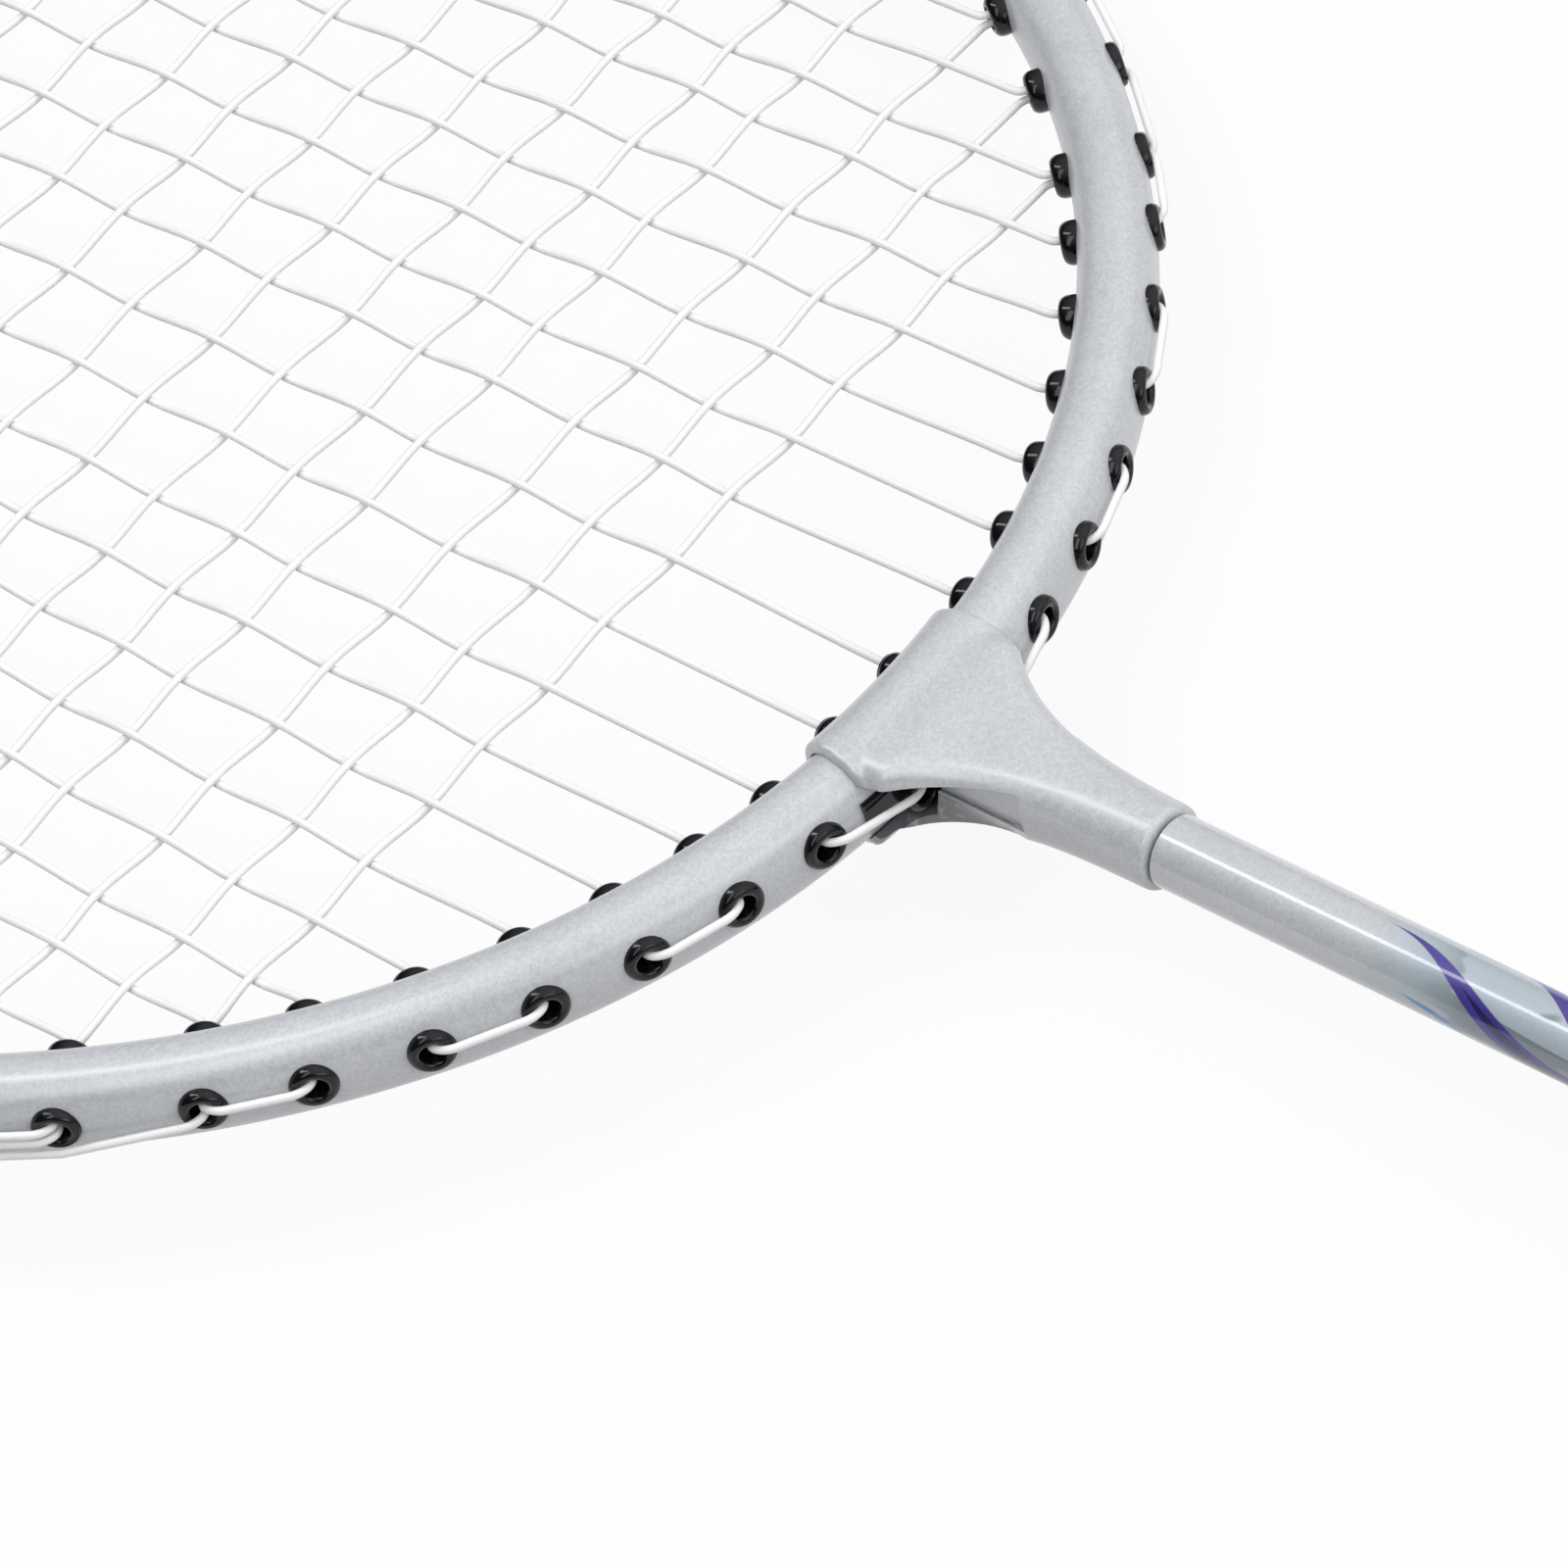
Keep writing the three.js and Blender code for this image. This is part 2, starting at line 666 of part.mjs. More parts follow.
// The knots at a string's ends are fat stretches of it
function routeRadii(points) {
  const last = points.length - 1;
  return points.map((point, index) => {
    const fromEnd = Math.min(index, last - index);
    return fromEnd === 1 || fromEnd === 2 ? knotRadius : stringRadius;
  });
}

// Least gap between surfaces, on points along the routes; points nearer along one route are skipped
function leastRouteGap(oneRoute, otherRoute) {
  const sample = (route) => {
    const samples = [];
    let travelled = 0;
    for (let index = 1; index < route.length; index += 1) {
      const length = route[index].distanceTo(route[index - 1]);
      const count = Math.max(1, Math.round(length / (gapSampleDiameters * stringDiameter)));
      for (let step = 0; step < count; step += 1) {
        const point = route[index - 1].clone().lerp(route[index], step / count);
        samples.push({ point, travelled: travelled + (length * step) / count });
      }
      travelled += length;
    }
    return samples;
  };
  const ones = sample(oneRoute);
  const others = sample(otherRoute);
  const skip = gapSkipDiameters * stringDiameter;
  let least = Infinity;
  ones.forEach((one) => {
    others.forEach((other) => {
      const apart = oneRoute !== otherRoute || Math.abs(one.travelled - other.travelled) > skip;
      if (apart) {
        least = Math.min(least, one.point.distanceToSquared(other.point));
      }
    });
  });
  return Math.sqrt(least) - stringDiameter;
}

function addStrings() {
  const mains = mainRoute();
  const crosses = crossRoute();
  addPiece('main_string', bendTube(mains, routeRadii(mains)), whiteString);
  addPiece('cross_string', bendTube(crosses, routeRadii(crosses)), whiteString);
  console.log('least gap of main_string to itself, mm:', leastRouteGap(mains, mains).toFixed(2));
  console.log('least gap of cross_string to itself, mm:', leastRouteGap(crosses, crosses).toFixed(2));
  console.log('least gap between the two strings, mm:', leastRouteGap(mains, crosses).toFixed(2));
}

// Shaft, cone, core and cap
function makeShaft() {
  const bore = shaftRadius - shaftWall;
  const profile = [
    new THREE.Vector2(bore, shaftBottomY),
    new THREE.Vector2(shaftRadius, shaftBottomY),
    new THREE.Vector2(shaftRadius, shaftTopY),
    new THREE.Vector2(bore, shaftTopY),
    new THREE.Vector2(bore, shaftBottomY),
  ];
  return new THREE.LatheGeometry(profile, shaftSides);
}

// Octagon of the handle, grown by an offset, two points to each bevel corner and one to each flat
function octagon(growth) {
  const halfWidth = coreWidth / 2 + growth;
  const halfHeight = coreHeight / 2 + growth;
  const bevel = coreHeight * coreBevelShare + growth * (2 - Math.SQRT2);
  const corners = [
    [halfWidth, -halfHeight + bevel],
    [halfWidth, halfHeight - bevel],
    [halfWidth - bevel, halfHeight],
    [-halfWidth + bevel, halfHeight],
    [-halfWidth, halfHeight - bevel],
    [-halfWidth, -halfHeight + bevel],
    [-halfWidth + bevel, -halfHeight],
    [halfWidth - bevel, -halfHeight],
  ];
  const outline = [];
  corners.forEach(([x, z], index) => {
    const [nextX, nextZ] = corners[(index + 1) % corners.length];
    outline.push(new THREE.Vector2(x, z));
    outline.push(new THREE.Vector2((x + nextX) / 2, (z + nextZ) / 2));
  });
  return outline;
}

function ringAt(outline, y) {
  return outline.map((point) => new THREE.Vector3(point.x, y, -point.y));
}

function makeHandleCore() {
  const body = solidOf(loft([ringAt(octagon(0), coreBottomY), ringAt(octagon(0), coreTopY)]));
  const depth = shaftSeatLength + fitGap;
  const drillLength = depth + cutOverrun;
  const bore = new THREE.CylinderGeometry(shaftBoreRadius, shaftBoreRadius, drillLength, shaftSides);
  bore.translate(0, coreTopY - depth + drillLength / 2, 0);
  return geometryOf(body.subtract(solidOf(bore)));
}

function makeCone() {
  const base = octagon(0);
  const tip = base.map((point) => point.clone().setLength(coneTipRadius));
  const taperLength = coneLength - coneCollarLength;
  const rings = [ringAt(base, coneBottomY)];
  coneStationShares.forEach((share) => {
    const blend = 1 - (1 - share) ** (1 / coneTaperPower);
    const outline = base.map((point, index) => point.clone().lerp(tip[index], blend));
    const rounding = share === 1 ? coneTipRounding : 0;
    rings.push(ringAt(outline, coneBottomY + coneCollarLength + (taperLength - rounding) * share));
  });
  const lip = tip.map((point) => point.clone().setLength(coneTipRadius - coneTipRounding));
  rings.push(ringAt(lip, coneBottomY + coneLength));
  const drillLength = coneLength + 2 * cutOverrun;
  const bore = new THREE.CylinderGeometry(shaftBoreRadius, shaftBoreRadius, drillLength, coneSides);
  bore.translate(0, coneBottomY + coneLength / 2, 0);
  return geometryOf(solidOf(loft(rings)).subtract(solidOf(bore)));
}

function makeButtCap() {
  const topGrowth = gripOffset;
  const flareGrowth = gripOffset + capFlare;
  const [flareEndShare, neckShare] = capFlareShares;
  const body = loft([
    ringAt(octagon(flareGrowth - capEdgeBevel), 0),
    ringAt(octagon(flareGrowth), capEdgeBevel),
    ringAt(octagon(flareGrowth), capSkirtLength * flareEndShare),
    ringAt(octagon(topGrowth), capSkirtLength * neckShare),
    ringAt(octagon(topGrowth), capSkirtLength),
  ]);
  const socket = loft([
    ringAt(octagon(fitGap), capFloor),
    ringAt(octagon(fitGap), capSkirtLength + cutOverrun),
  ]);
  return geometryOf(solidOf(body).subtract(solidOf(socket)));
}

// Grip tape: one strip wound up the core, its first and last turns trimmed square to the handle
function makeGripWrap() {
  const inner = octagon(fitGap);
  const outer = octagon(gripOffset);
  const pitch = gripTapeWidth + gripTurnGap;
  const rings = [];
  const edges = [];
  const firstStep = Math.ceil((gripStartWidth / pitch) * gripTurnSides);
  const lastUpper = gripLength + gripTapeWidth - gripStartWidth;
  const lastStep = Math.floor((lastUpper / pitch) * gripTurnSides);
  for (let step = firstStep; step <= lastStep; step += 1) {
    const corner = step % gripTurnSides;
    const upper = (step / gripTurnSides) * pitch;
    const lower = Math.max(upper - gripTapeWidth, 0);
    const trimmed = Math.min(upper, gripLength);
    const at = (outline, y) => new THREE.Vector3(outline[corner].x, gripBottomY + y, -outline[corner].y);
    rings.push([at(inner, trimmed), at(outer, trimmed), at(outer, lower), at(inner, lower)]);
    edges.push({ step, low: at(outer, lower), high: at(outer, trimmed) });
  }
  const gaps = edges.slice(gripTurnSides).map((edge, index) => edge.low.distanceTo(edges[index].high));
  console.log('least gap of grip_wrap to itself, mm:', Math.min(...gaps).toFixed(2));
  return loft(rings);
}

function makeEndTape() {
  const tapeBottom = gripTopY - endTapeOverGrip;
  const tapeTop = coneBottomY + endTapeOverCone;
  const rows = [
    [gripOffset + fitGap, tapeBottom],
    [gripOffset + fitGap, gripTopY + fitGap],
    [fitGap, coneBottomY - fitGap],
    [fitGap, tapeTop],
  ];
  const wall = endTapeThickness;
  const outer = rows.map(([growth, y]) => ringAt(octagon(growth + wall), y));
  const inner = rows.map(([growth, y]) => ringAt(octagon(growth), y));
  inner[0] = ringAt(octagon(rows[0][0]), tapeBottom - cutOverrun);
  inner[inner.length - 1] = ringAt(octagon(fitGap), tapeTop + cutOverrun);
  return geometryOf(solidOf(loft(outer)).subtract(solidOf(loft(inner))));
}

addPiece('head_frame', makeHeadFrame(), silverPaint);
addPiece('frame_splice', makeSplice(), darkPlastic);
addPiece('throat_joint', makeThroatJoint(), silverPaint);
addGrommets();
addStrings();
addPiece('shaft', makeShaft(), clearCoatSilver);
addPiece('handle_core', makeHandleCore(), paleWood);
addPiece('handle_cone', makeCone(), darkPlastic);
addPiece('butt_cap', makeButtCap(), darkPlastic);
addPiece('grip_wrap', makeGripWrap(), gripTape);
addPiece('grip_end_tape', makeEndTape(), endTape);

export default racket;
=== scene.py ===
import math

import bmesh
import bpy
from mathutils import Matrix, Vector


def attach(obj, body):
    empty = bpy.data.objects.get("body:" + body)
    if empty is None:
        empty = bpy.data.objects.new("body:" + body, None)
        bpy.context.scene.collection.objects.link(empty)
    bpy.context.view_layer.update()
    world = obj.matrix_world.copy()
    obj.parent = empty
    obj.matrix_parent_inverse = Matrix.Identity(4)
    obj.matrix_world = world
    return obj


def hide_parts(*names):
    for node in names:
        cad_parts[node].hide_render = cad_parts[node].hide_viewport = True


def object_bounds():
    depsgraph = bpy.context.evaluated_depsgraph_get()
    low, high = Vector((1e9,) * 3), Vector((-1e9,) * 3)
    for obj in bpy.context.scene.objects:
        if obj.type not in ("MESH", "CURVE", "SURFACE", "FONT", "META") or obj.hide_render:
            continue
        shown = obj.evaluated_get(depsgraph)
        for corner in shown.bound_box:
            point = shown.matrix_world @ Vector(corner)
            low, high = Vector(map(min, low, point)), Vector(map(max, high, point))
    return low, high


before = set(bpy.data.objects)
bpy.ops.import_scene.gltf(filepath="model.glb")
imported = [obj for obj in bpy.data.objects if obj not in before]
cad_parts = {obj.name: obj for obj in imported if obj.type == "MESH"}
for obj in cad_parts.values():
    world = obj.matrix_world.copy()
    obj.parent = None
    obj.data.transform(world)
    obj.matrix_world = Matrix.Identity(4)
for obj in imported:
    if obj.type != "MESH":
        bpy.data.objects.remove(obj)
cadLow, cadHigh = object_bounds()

# A strung badminton racket. It lies flat: +Y runs from the butt to the crown, +Z points out of the strings.
# The racket's sizes are given in millimetres and those of the studio in metres. Every mesh is in metres.
mm = 0.001
quarterTurn = math.pi / 2
scene = bpy.context.scene
scene.view_settings.view_transform = "Standard"

racket = {"length": 672.0, "gap": 0.3}
head = {
    "width": 200.0, "length": 243.5, "tubeWidth": 7.5, "tubeHeight": 9.4, "tubeWall": 1.1,
    "squareness": 2.4, "endGap": 0.4, "steps": 720, "sides": 48, "boreSides": 24,
    "holeRise": 0.5, "throatHoleRise": -0.5, "drillRun": 1.2,
}
stringing = {
    "diameter": 0.82, "layerRise": 0.56, "weaveRise": 0.43, "sides": 10, "stepsPerCrossing": 5,
    "mainShares": [0.049, 0.151, 0.24, 0.329, 0.417, 0.506, 0.59, 0.668, 0.748, 0.82, 0.892],
    "crossCount": 19, "lowestCrossShare": -0.755, "highestCrossShare": 0.884,
    "runLift": 0.47, "passRise": 2.1, "turnLength": 1.5, "bendReach": 0.9, "bendSteps": 4, "tieHoles": 2,
    "bendShare": 0.45, "bendFrom": 14, "clearShare": 0.01,
    "knotRise": 1.2, "knotRadius": 0.56, "knotTurns": 3, "knotPitch": 0.85, "knotSteps": 12,
    "knotStart": 0.6, "tailLength": 1.4,
}
grommet = {
    "bore": 1.15, "barrel": 1.85, "collar": 2.32, "collarTop": 4.45, "throatTop": 5.7, "seat": 3.15,
    "lip": 2.15, "lipTip": 5.2, "throatLip": 1.87, "throatReach": 2.1, "sides": 40, "sharedSpacing": 5.3,
}
print("frame loaded")


# Head geometry, in millimetres
halfAcross = (head["width"] - head["tubeWidth"]) / 2
halfAlong = (head["length"] - head["tubeWidth"]) / 2
headCentreY = racket["length"] - head["length"] / 2
throatY = headCentreY - halfAlong
tubeHalf = head["tubeWidth"] / 2
stringRadius = stringing["diameter"] / 2
lipClear = grommet["lipTip"] + racket["gap"] + stringRadius
holeRadius = grommet["barrel"] + racket["gap"] / 2


def hoopOut(angle):
    return Vector((halfAlong * math.cos(angle), halfAcross * math.sin(angle), 0)).normalized()


def hoopPoint(angle, outward=0.0, rise=0.0):
    point = Vector((halfAcross * math.cos(angle), headCentreY + halfAlong * math.sin(angle), rise))
    return point + hoopOut(angle) * outward


def hoopPath(start, end, steps, outward=0.0, rise=0.0):
    return [hoopPoint(start + (end - start) * step / steps, outward, rise) for step in range(steps + 1)]


def angleWhere(measure, value, low, high):
    for _ in range(50):  # halvings
        middle = (low + high) / 2
        low, high = (middle, high) if measure(middle) > value else (low, middle)
    return (low + high) / 2


def angleAcross(x):
    return angleWhere(lambda angle: hoopPoint(angle, -tubeHalf).x, x, 0, quarterTurn)


def angleAlong(y):
    return angleWhere(lambda angle: -hoopPoint(angle, -tubeHalf).y, -y, -quarterTurn, quarterTurn)


def sideAngle(angle, side):
    return angle if side > 0 else math.pi - angle


# Holes of the right half from the throat up; a main and a cross that end close together share one
def planHoles():
    innerAcross, innerAlong = halfAcross - tubeHalf, halfAlong - tubeHalf
    ends = []
    for index, share in enumerate(stringing["mainShares"]):
        angle = angleAcross(share * innerAcross)
        ends += [{"angle": -angle, "mainBottom": index}, {"angle": angle, "mainTop": index}]
    low, high = stringing["lowestCrossShare"], stringing["highestCrossShare"]
    for index in range(stringing["crossCount"]):
        share = low + (high - low) * index / (stringing["crossCount"] - 1)
        ends.append({"angle": angleAlong(headCentreY + share * innerAlong), "cross": index})
    ends.sort(key=lambda end: end["angle"])
    found = []
    for end in ends:
        before = found[-1] if found else None
        if before:
            apart = (hoopPoint(before["angle"]) - hoopPoint(end["angle"])).length
            if apart < grommet["sharedSpacing"] and ("cross" in before) != ("cross" in end):
                angle = (before["angle"] + end["angle"]) / 2
                before.update(end)
                before["angle"] = angle
                continue
        found.append(dict(end))
    return found


holes = planHoles()


def holeWith(key, index):
    return next(place for place, hole in enumerate(holes) if hole.get(key) == index)


# The hole in the joint's window sits lower, and its collar stands higher
def holeRise(place):
    return head["holeRise"] if place > 0 else head["throatHoleRise"]


def collarTop(place):
    return grommet["collarTop"] if place > 0 else grommet["throatTop"]


# Nodes
def feed(tree, socket, value):
    if isinstance(value, bpy.types.NodeSocket):
        tree.links.new(value, socket)
    else:
        socket.default_value = value


def addNode(tree, kind, inputs=None, **settings):
    node = tree.nodes.new(kind)
    for name, value in settings.items():
        setattr(node, name, value)
    for name, value in (inputs or {}).items():
        feed(tree, node.inputs[name], value)
    return node


def calc(tree, operation, *values):
    node = tree.nodes.new("ShaderNodeMath")
    node.operation = operation
    for socket, value in zip(node.inputs, values):
        feed(tree, socket, value)
    return node.outputs[0]


def blendColor(tree, share, low, high, kind="MIX"):
    node = addNode(tree, "ShaderNodeMix", data_type="RGBA", blend_type=kind)
    feed(tree, node.inputs[0], share)
    feed(tree, node.inputs[6], low)
    feed(tree, node.inputs[7], high)
    return node.outputs[2]


def softStep(tree, value, low, high):
    inputs = {"Value": value, "From Min": low, "From Max": high}
    return addNode(tree, "ShaderNodeMapRange", inputs, interpolation_type="SMOOTHSTEP").outputs["Result"]


# A value between 0 and 1, made to swing round 0 by that size in all
def centred(tree, value, size):
    return calc(tree, "MULTIPLY", calc(tree, "SUBTRACT", value, 0.5), size)


def noise(tree, place, scale, detail, distortion=0.0):
    return addNode(tree, "ShaderNodeTexNoise", {
        "Vector": place, "Scale": scale, "Detail": detail, "Distortion": distortion}).outputs[0]


def objectVector(tree):
    return addNode(tree, "ShaderNodeTexCoord").outputs["Object"]


# Object coordinates with a scale for each axis
def drawnOut(tree, scale):
    return addNode(tree, "ShaderNodeMapping", {"Vector": objectVector(tree), "Scale": scale}).outputs[0]


# X, Y and Z of the surface in millimetres
def objectPlace(tree):
    split = addNode(tree, "ShaderNodeSeparateXYZ", {"Vector": objectVector(tree)})
    return [calc(tree, "MULTIPLY", split.outputs[axis], 1 / mm) for axis in "XYZ"]


def newGroup(name, kind, inputs, outputs):
    tree = bpy.data.node_groups.new(name, kind)
    for direction, sockets in (("INPUT", inputs), ("OUTPUT", outputs)):
        for label, kindOfSocket, *default in sockets:
            socket = tree.interface.new_socket(
                name=label, in_out=direction, socket_type="NodeSocket" + kindOfSocket)
            if default:
                socket.default_value = default[0]
    return tree, tree.nodes.new("NodeGroupInput").outputs, tree.nodes.new("NodeGroupOutput").inputs


def useTree(piece, tree, settings):
    modifier = piece.modifiers.new(tree.name, "NODES")
    modifier.node_group = tree
    for item in tree.interface.items_tree:
        if item.in_out == "INPUT" and item.name in settings:
            modifier[item.identifier] = settings[item.name]


# Meshes
def newPiece(name, mesh):
    piece = bpy.data.objects.new(name, mesh)
    scene.collection.objects.link(piece)
    return piece


def dropPiece(piece):
    bpy.data.objects.remove(piece)


# Turns what the modifiers show into the piece's own plain mesh
def settle(piece):
    graph = bpy.context.evaluated_depsgraph_get()
    graph.update()
    shown = bpy.data.meshes.new_from_object(piece.evaluated_get(graph), depsgraph=graph)
    piece.modifiers.clear()
    piece.data = shown
    return piece


def giveMaterial(piece, material):
    piece.data.materials.clear()
    piece.data.materials.append(material)


def polyline(name, points):
    mesh = bpy.data.meshes.new(name)
    edges = [(index, index + 1) for index in range(len(points) - 1)]
    mesh.from_pydata([point * mm for point in points], edges, [])
    return newPiece(name, mesh)


def faceOutward(mesh):
    shape = bmesh.new()
    shape.from_mesh(mesh)
    bmesh.ops.recalc_face_normals(shape, faces=shape.faces)
    if shape.calc_volume(signed=True) < 0:
        bmesh.ops.reverse_faces(shape, faces=shape.faces)
    shape.to_mesh(mesh)
    shape.free()


def smoothByAngle(piece, degrees=35):
    piece.data.shade_smooth()
    piece.data.set_sharp_from_angle(angle=math.radians(degrees))


def turnsOf(sides):
    return [2 * math.pi * side / sides for side in range(sides)]


# Even shares of a way, from 0 to 1
def sharesOf(steps):
    return [step / steps for step in range(steps + 1)]


def ease(share):
    return (1 - math.cos(math.pi * share)) / 2


# Cuts an outline's corners, for a soft moulded section; an open line keeps its ends
def roundCorners(points, closed=True, rounds=1):
    for _ in range(rounds):
        soft = []
        for start, end in zip(points, points[1:] + points[:1] if closed else points[1:]):
            for share in (0.25, 0.75):
                soft.append(tuple(a + (b - a) * share for a, b in zip(start, end)))
        points = soft if closed else [points[0], *soft, points[-1]]
    return points


# A skin through rings of equal point counts, its ends filled, or joined to each other where closed
def loft(name, rings, closed=False, material=None):
    size, count = len(rings[0]), len(rings)
    faces = []
    for row in range(count if closed else count - 1):
        here, above = row * size, ((row + 1) % count) * size
        for side in range(size):
            after = (side + 1) % size
            faces.append((here + side, here + after, above + after, above + side))
    if not closed:
        faces += [tuple(range(size)), tuple((count - 1) * size + side for side in range(size))]
    mesh = bpy.data.meshes.new(name)
    mesh.from_pydata([point * mm for ring in rings for point in ring], [], faces)
    faceOutward(mesh)
    piece = newPiece(name, mesh)
    if material:
        mesh.materials.append(material)
    smoothByAngle(piece)
    return piece


# A closed profile of radius and height pairs turned about +Z
def lathe(name, profile, sides, material=None):
    rings = []
    for turn in turnsOf(sides):
        across, along = math.cos(turn), math.sin(turn)
        rings.append([Vector((radius * across, radius * along, height)) for radius, height in profile])
    return loft(name, rings, closed=True, material=material)


def combine(piece, other, operation):
    modifier = piece.modifiers.new(operation.lower(), "BOOLEAN")
    modifier.operation = operation
    modifier.solver = "MANIFOLD"
    modifier.object = other
    settle(piece)
    dropPiece(other)
    return piece


# Cuts holes, and the skin round them keeps the shading it had before
def cutKeepingShade(piece, cutters, reach=0.02):
    before = newPiece("shadeOf" + piece.name, piece.data.copy())
    for cutter in cutters:
        combine(piece, cutter, "DIFFERENCE")
    smoothByAngle(piece)
    modifier = piece.modifiers.new("shade", "DATA_TRANSFER")
    modifier.object = before
    modifier.use_loop_data = True
    modifier.data_types_loops = {"CUSTOM_NORMAL"}
    modifier.loop_mapping = "POLYINTERP_NEAREST"
    modifier.use_max_distance = True
    modifier.max_distance = reach * mm
    settle(piece)
    dropPiece(before)


# A geometry tree whose result is made real and gets a material
def geometryTree(name, inputs, build):
    tree, given, result = newGroup(
        name, "GeometryNodeTree", [*inputs, ("Material", "Material")], [("Geometry", "Geometry")])
    real = addNode(tree, "GeometryNodeRealizeInstances", {"Geometry": build(tree, given)})
    dressed = addNode(tree, "GeometryNodeSetMaterial", {
        "Geometry": real.outputs[0], "Material": given["Material"]})
    tree.links.new(dressed.outputs[0], result["Geometry"])
    return tree


def sweptAlong(tree, path, profile):
    return addNode(tree, "GeometryNodeCurveToMesh", {
        "Curve": path, "Profile Curve": profile, "Fill Caps": True}).outputs[0]


def buildOval(tree, given):
    path = addNode(tree, "GeometryNodeMeshToCurve", {"Mesh": given["Path"]}).outputs[0]
    upright = addNode(tree, "GeometryNodeSetCurveNormal", {"Curve": path}, mode="Z_UP").outputs[0]
    circle = addNode(tree, "GeometryNodeCurvePrimitiveCircle", {"Resolution": given["Sides"], "Radius": 1.0})
    here = addNode(tree, "GeometryNodeInputPosition").outputs[0]
    place = addNode(tree, "ShaderNodeSeparateXYZ", {"Vector": here})
    power = calc(tree, "DIVIDE", 2.0, given["Squareness"])
    sides = []
    for axis, half in (("X", "Half Width"), ("Y", "Half Height")):
        grown = calc(tree, "POWER", calc(tree, "ABSOLUTE", place.outputs[axis]), power)
        signed = calc(tree, "MULTIPLY", grown, calc(tree, "SIGN", place.outputs[axis]))
        sides.append(calc(tree, "MULTIPLY", signed, given[half]))
    outline = addNode(tree, "ShaderNodeCombineXYZ", {"X": sides[0], "Y": sides[1]}).outputs[0]
    profile = addNode(tree, "GeometryNodeSetPosition", {"Geometry": circle.outputs[0], "Position": outline})
    return sweptAlong(tree, upright, profile.outputs[0])


def buildCord(tree, given):
    path = addNode(tree, "GeometryNodeMeshToCurve", {"Mesh": given["Path"]}).outputs[0]
    circle = addNode(tree, "GeometryNodeCurvePrimitiveCircle", {
        "Resolution": given["Sides"], "Radius": given["Radius"]})
    return sweptAlong(tree, path, circle.outputs[0])


def buildStanding(tree, given):
    outward = addNode(tree, "GeometryNodeInputNamedAttribute", {"Name": "outward"}, data_type="FLOAT_VECTOR")
    turned = addNode(tree, "FunctionNodeAlignRotationToVector", {"Vector": outward.outputs[0]}, axis="Z")
    copied = addNode(tree, "GeometryNodeObjectInfo", {"Object": given["Piece"]})
    return addNode(tree, "GeometryNodeInstanceOnPoints", {
        "Points": given["Places"], "Instance": copied.outputs["Geometry"],
        "Rotation": turned.outputs[0]}).outputs[0]


# A bar of superellipse section along a flat path
ovalSweep = geometryTree("ovalSweep", [
    ("Path", "Geometry"), ("Half Width", "Float", 0.004), ("Half Height", "Float", 0.005),
    ("Squareness", "Float", 2.0), ("Sides", "Int", 32)], buildOval)
# A round cord along any path
cordSweep = geometryTree("cordSweep", [
    ("Path", "Geometry"), ("Radius", "Float", 0.00035), ("Sides", "Int", 8)], buildCord)
# Copies of a turned piece stood on points, its axis along each point's outward direction
standOut = geometryTree("standOut", [("Places", "Geometry"), ("Piece", "Object")], buildStanding)


def sweepWith(tree, name, points, settings, degrees=35):
    piece = polyline(name, points)
    useTree(piece, tree, settings)
    settle(piece)
    faceOutward(piece.data)
    smoothByAngle(piece, degrees)
    return piece


def sweepOval(name, points, halfWidth, halfHeight, squareness, sides, material=None):
    return sweepWith(ovalSweep, name, points, {
        "Half Width": halfWidth * mm, "Half Height": halfHeight * mm, "Squareness": float(squareness),
        "Sides": sides, "Material": material})


def sweepCord(name, points, radius, sides, material):
    settings = {"Radius": radius * mm, "Sides": sides, "Material": material}
    return sweepWith(cordSweep, name, points, settings, degrees=60)


# One mesh of copies of the template at those angles of the hoop; the template is used up
def standOnHoop(name, template, angles, material=None, rise=head["holeRise"]):
    mesh = bpy.data.meshes.new(name)
    mesh.from_pydata([hoopPoint(angle, 0, rise) * mm for angle in angles], [], [])
    outward = mesh.attributes.new("outward", "FLOAT_VECTOR", "POINT")
    for index, angle in enumerate(angles):
        outward.data[index].vector = hoopOut(angle)
    piece = newPiece(name, mesh)
    useTree(piece, standOut, {"Piece": template, "Material": material})
    settle(piece)
    smoothByAngle(piece)
    dropPiece(template)
    return piece


def drills(angles, radius, inner, outer, rise=head["holeRise"]):
    axis, sides = 0.0001, 24
    profile = [(axis, inner), (radius, inner), (radius, outer), (axis, outer)]
    return standOnHoop("drills", lathe("drill", profile, sides), angles, rise=rise)


def bothSides(angles):
    return [sideAngle(angle, side) for angle in angles for side in (1, -1)]


def finishPiece(piece, slotName, *nodes):
    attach(piece, "root")
    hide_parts(*nodes)
    print(piece.name, len(piece.data.polygons), "faces")


# A surface group. Its build gives a grey level for the colour, an addition to the roughness, and a height.
def surfaceGroup(name, inputs, build):
    tree, given, result = newGroup(
        name, "ShaderNodeTree", [("Color", "Color"), *inputs, ("Roughness", "Float", 0.35)],
        [("Color", "Color"), ("Roughness", "Float"), ("Height", "Float")])
    level, rougher, height = build(tree, given, objectVector(tree))
    grey = addNode(tree, "ShaderNodeCombineColor", {"Red": level, "Green": level, "Blue": level}).outputs[0]
    feed(tree, result["Color"], blendColor(tree, 1.0, given["Color"], grey, "MULTIPLY"))
    feed(tree, result["Roughness"], calc(tree, "ADD", given["Roughness"], rougher))
    feed(tree, result["Height"], height)
    return tree


flakes = {"cloudScale": 140.0, "cloudDetail": 3.0, "drift": 0.16, "rougher": 0.12}
moulding = {"grainDetail": 4.0, "cloudScale": 90.0, "cloudDetail": 2.0, "rougher": 0.25}


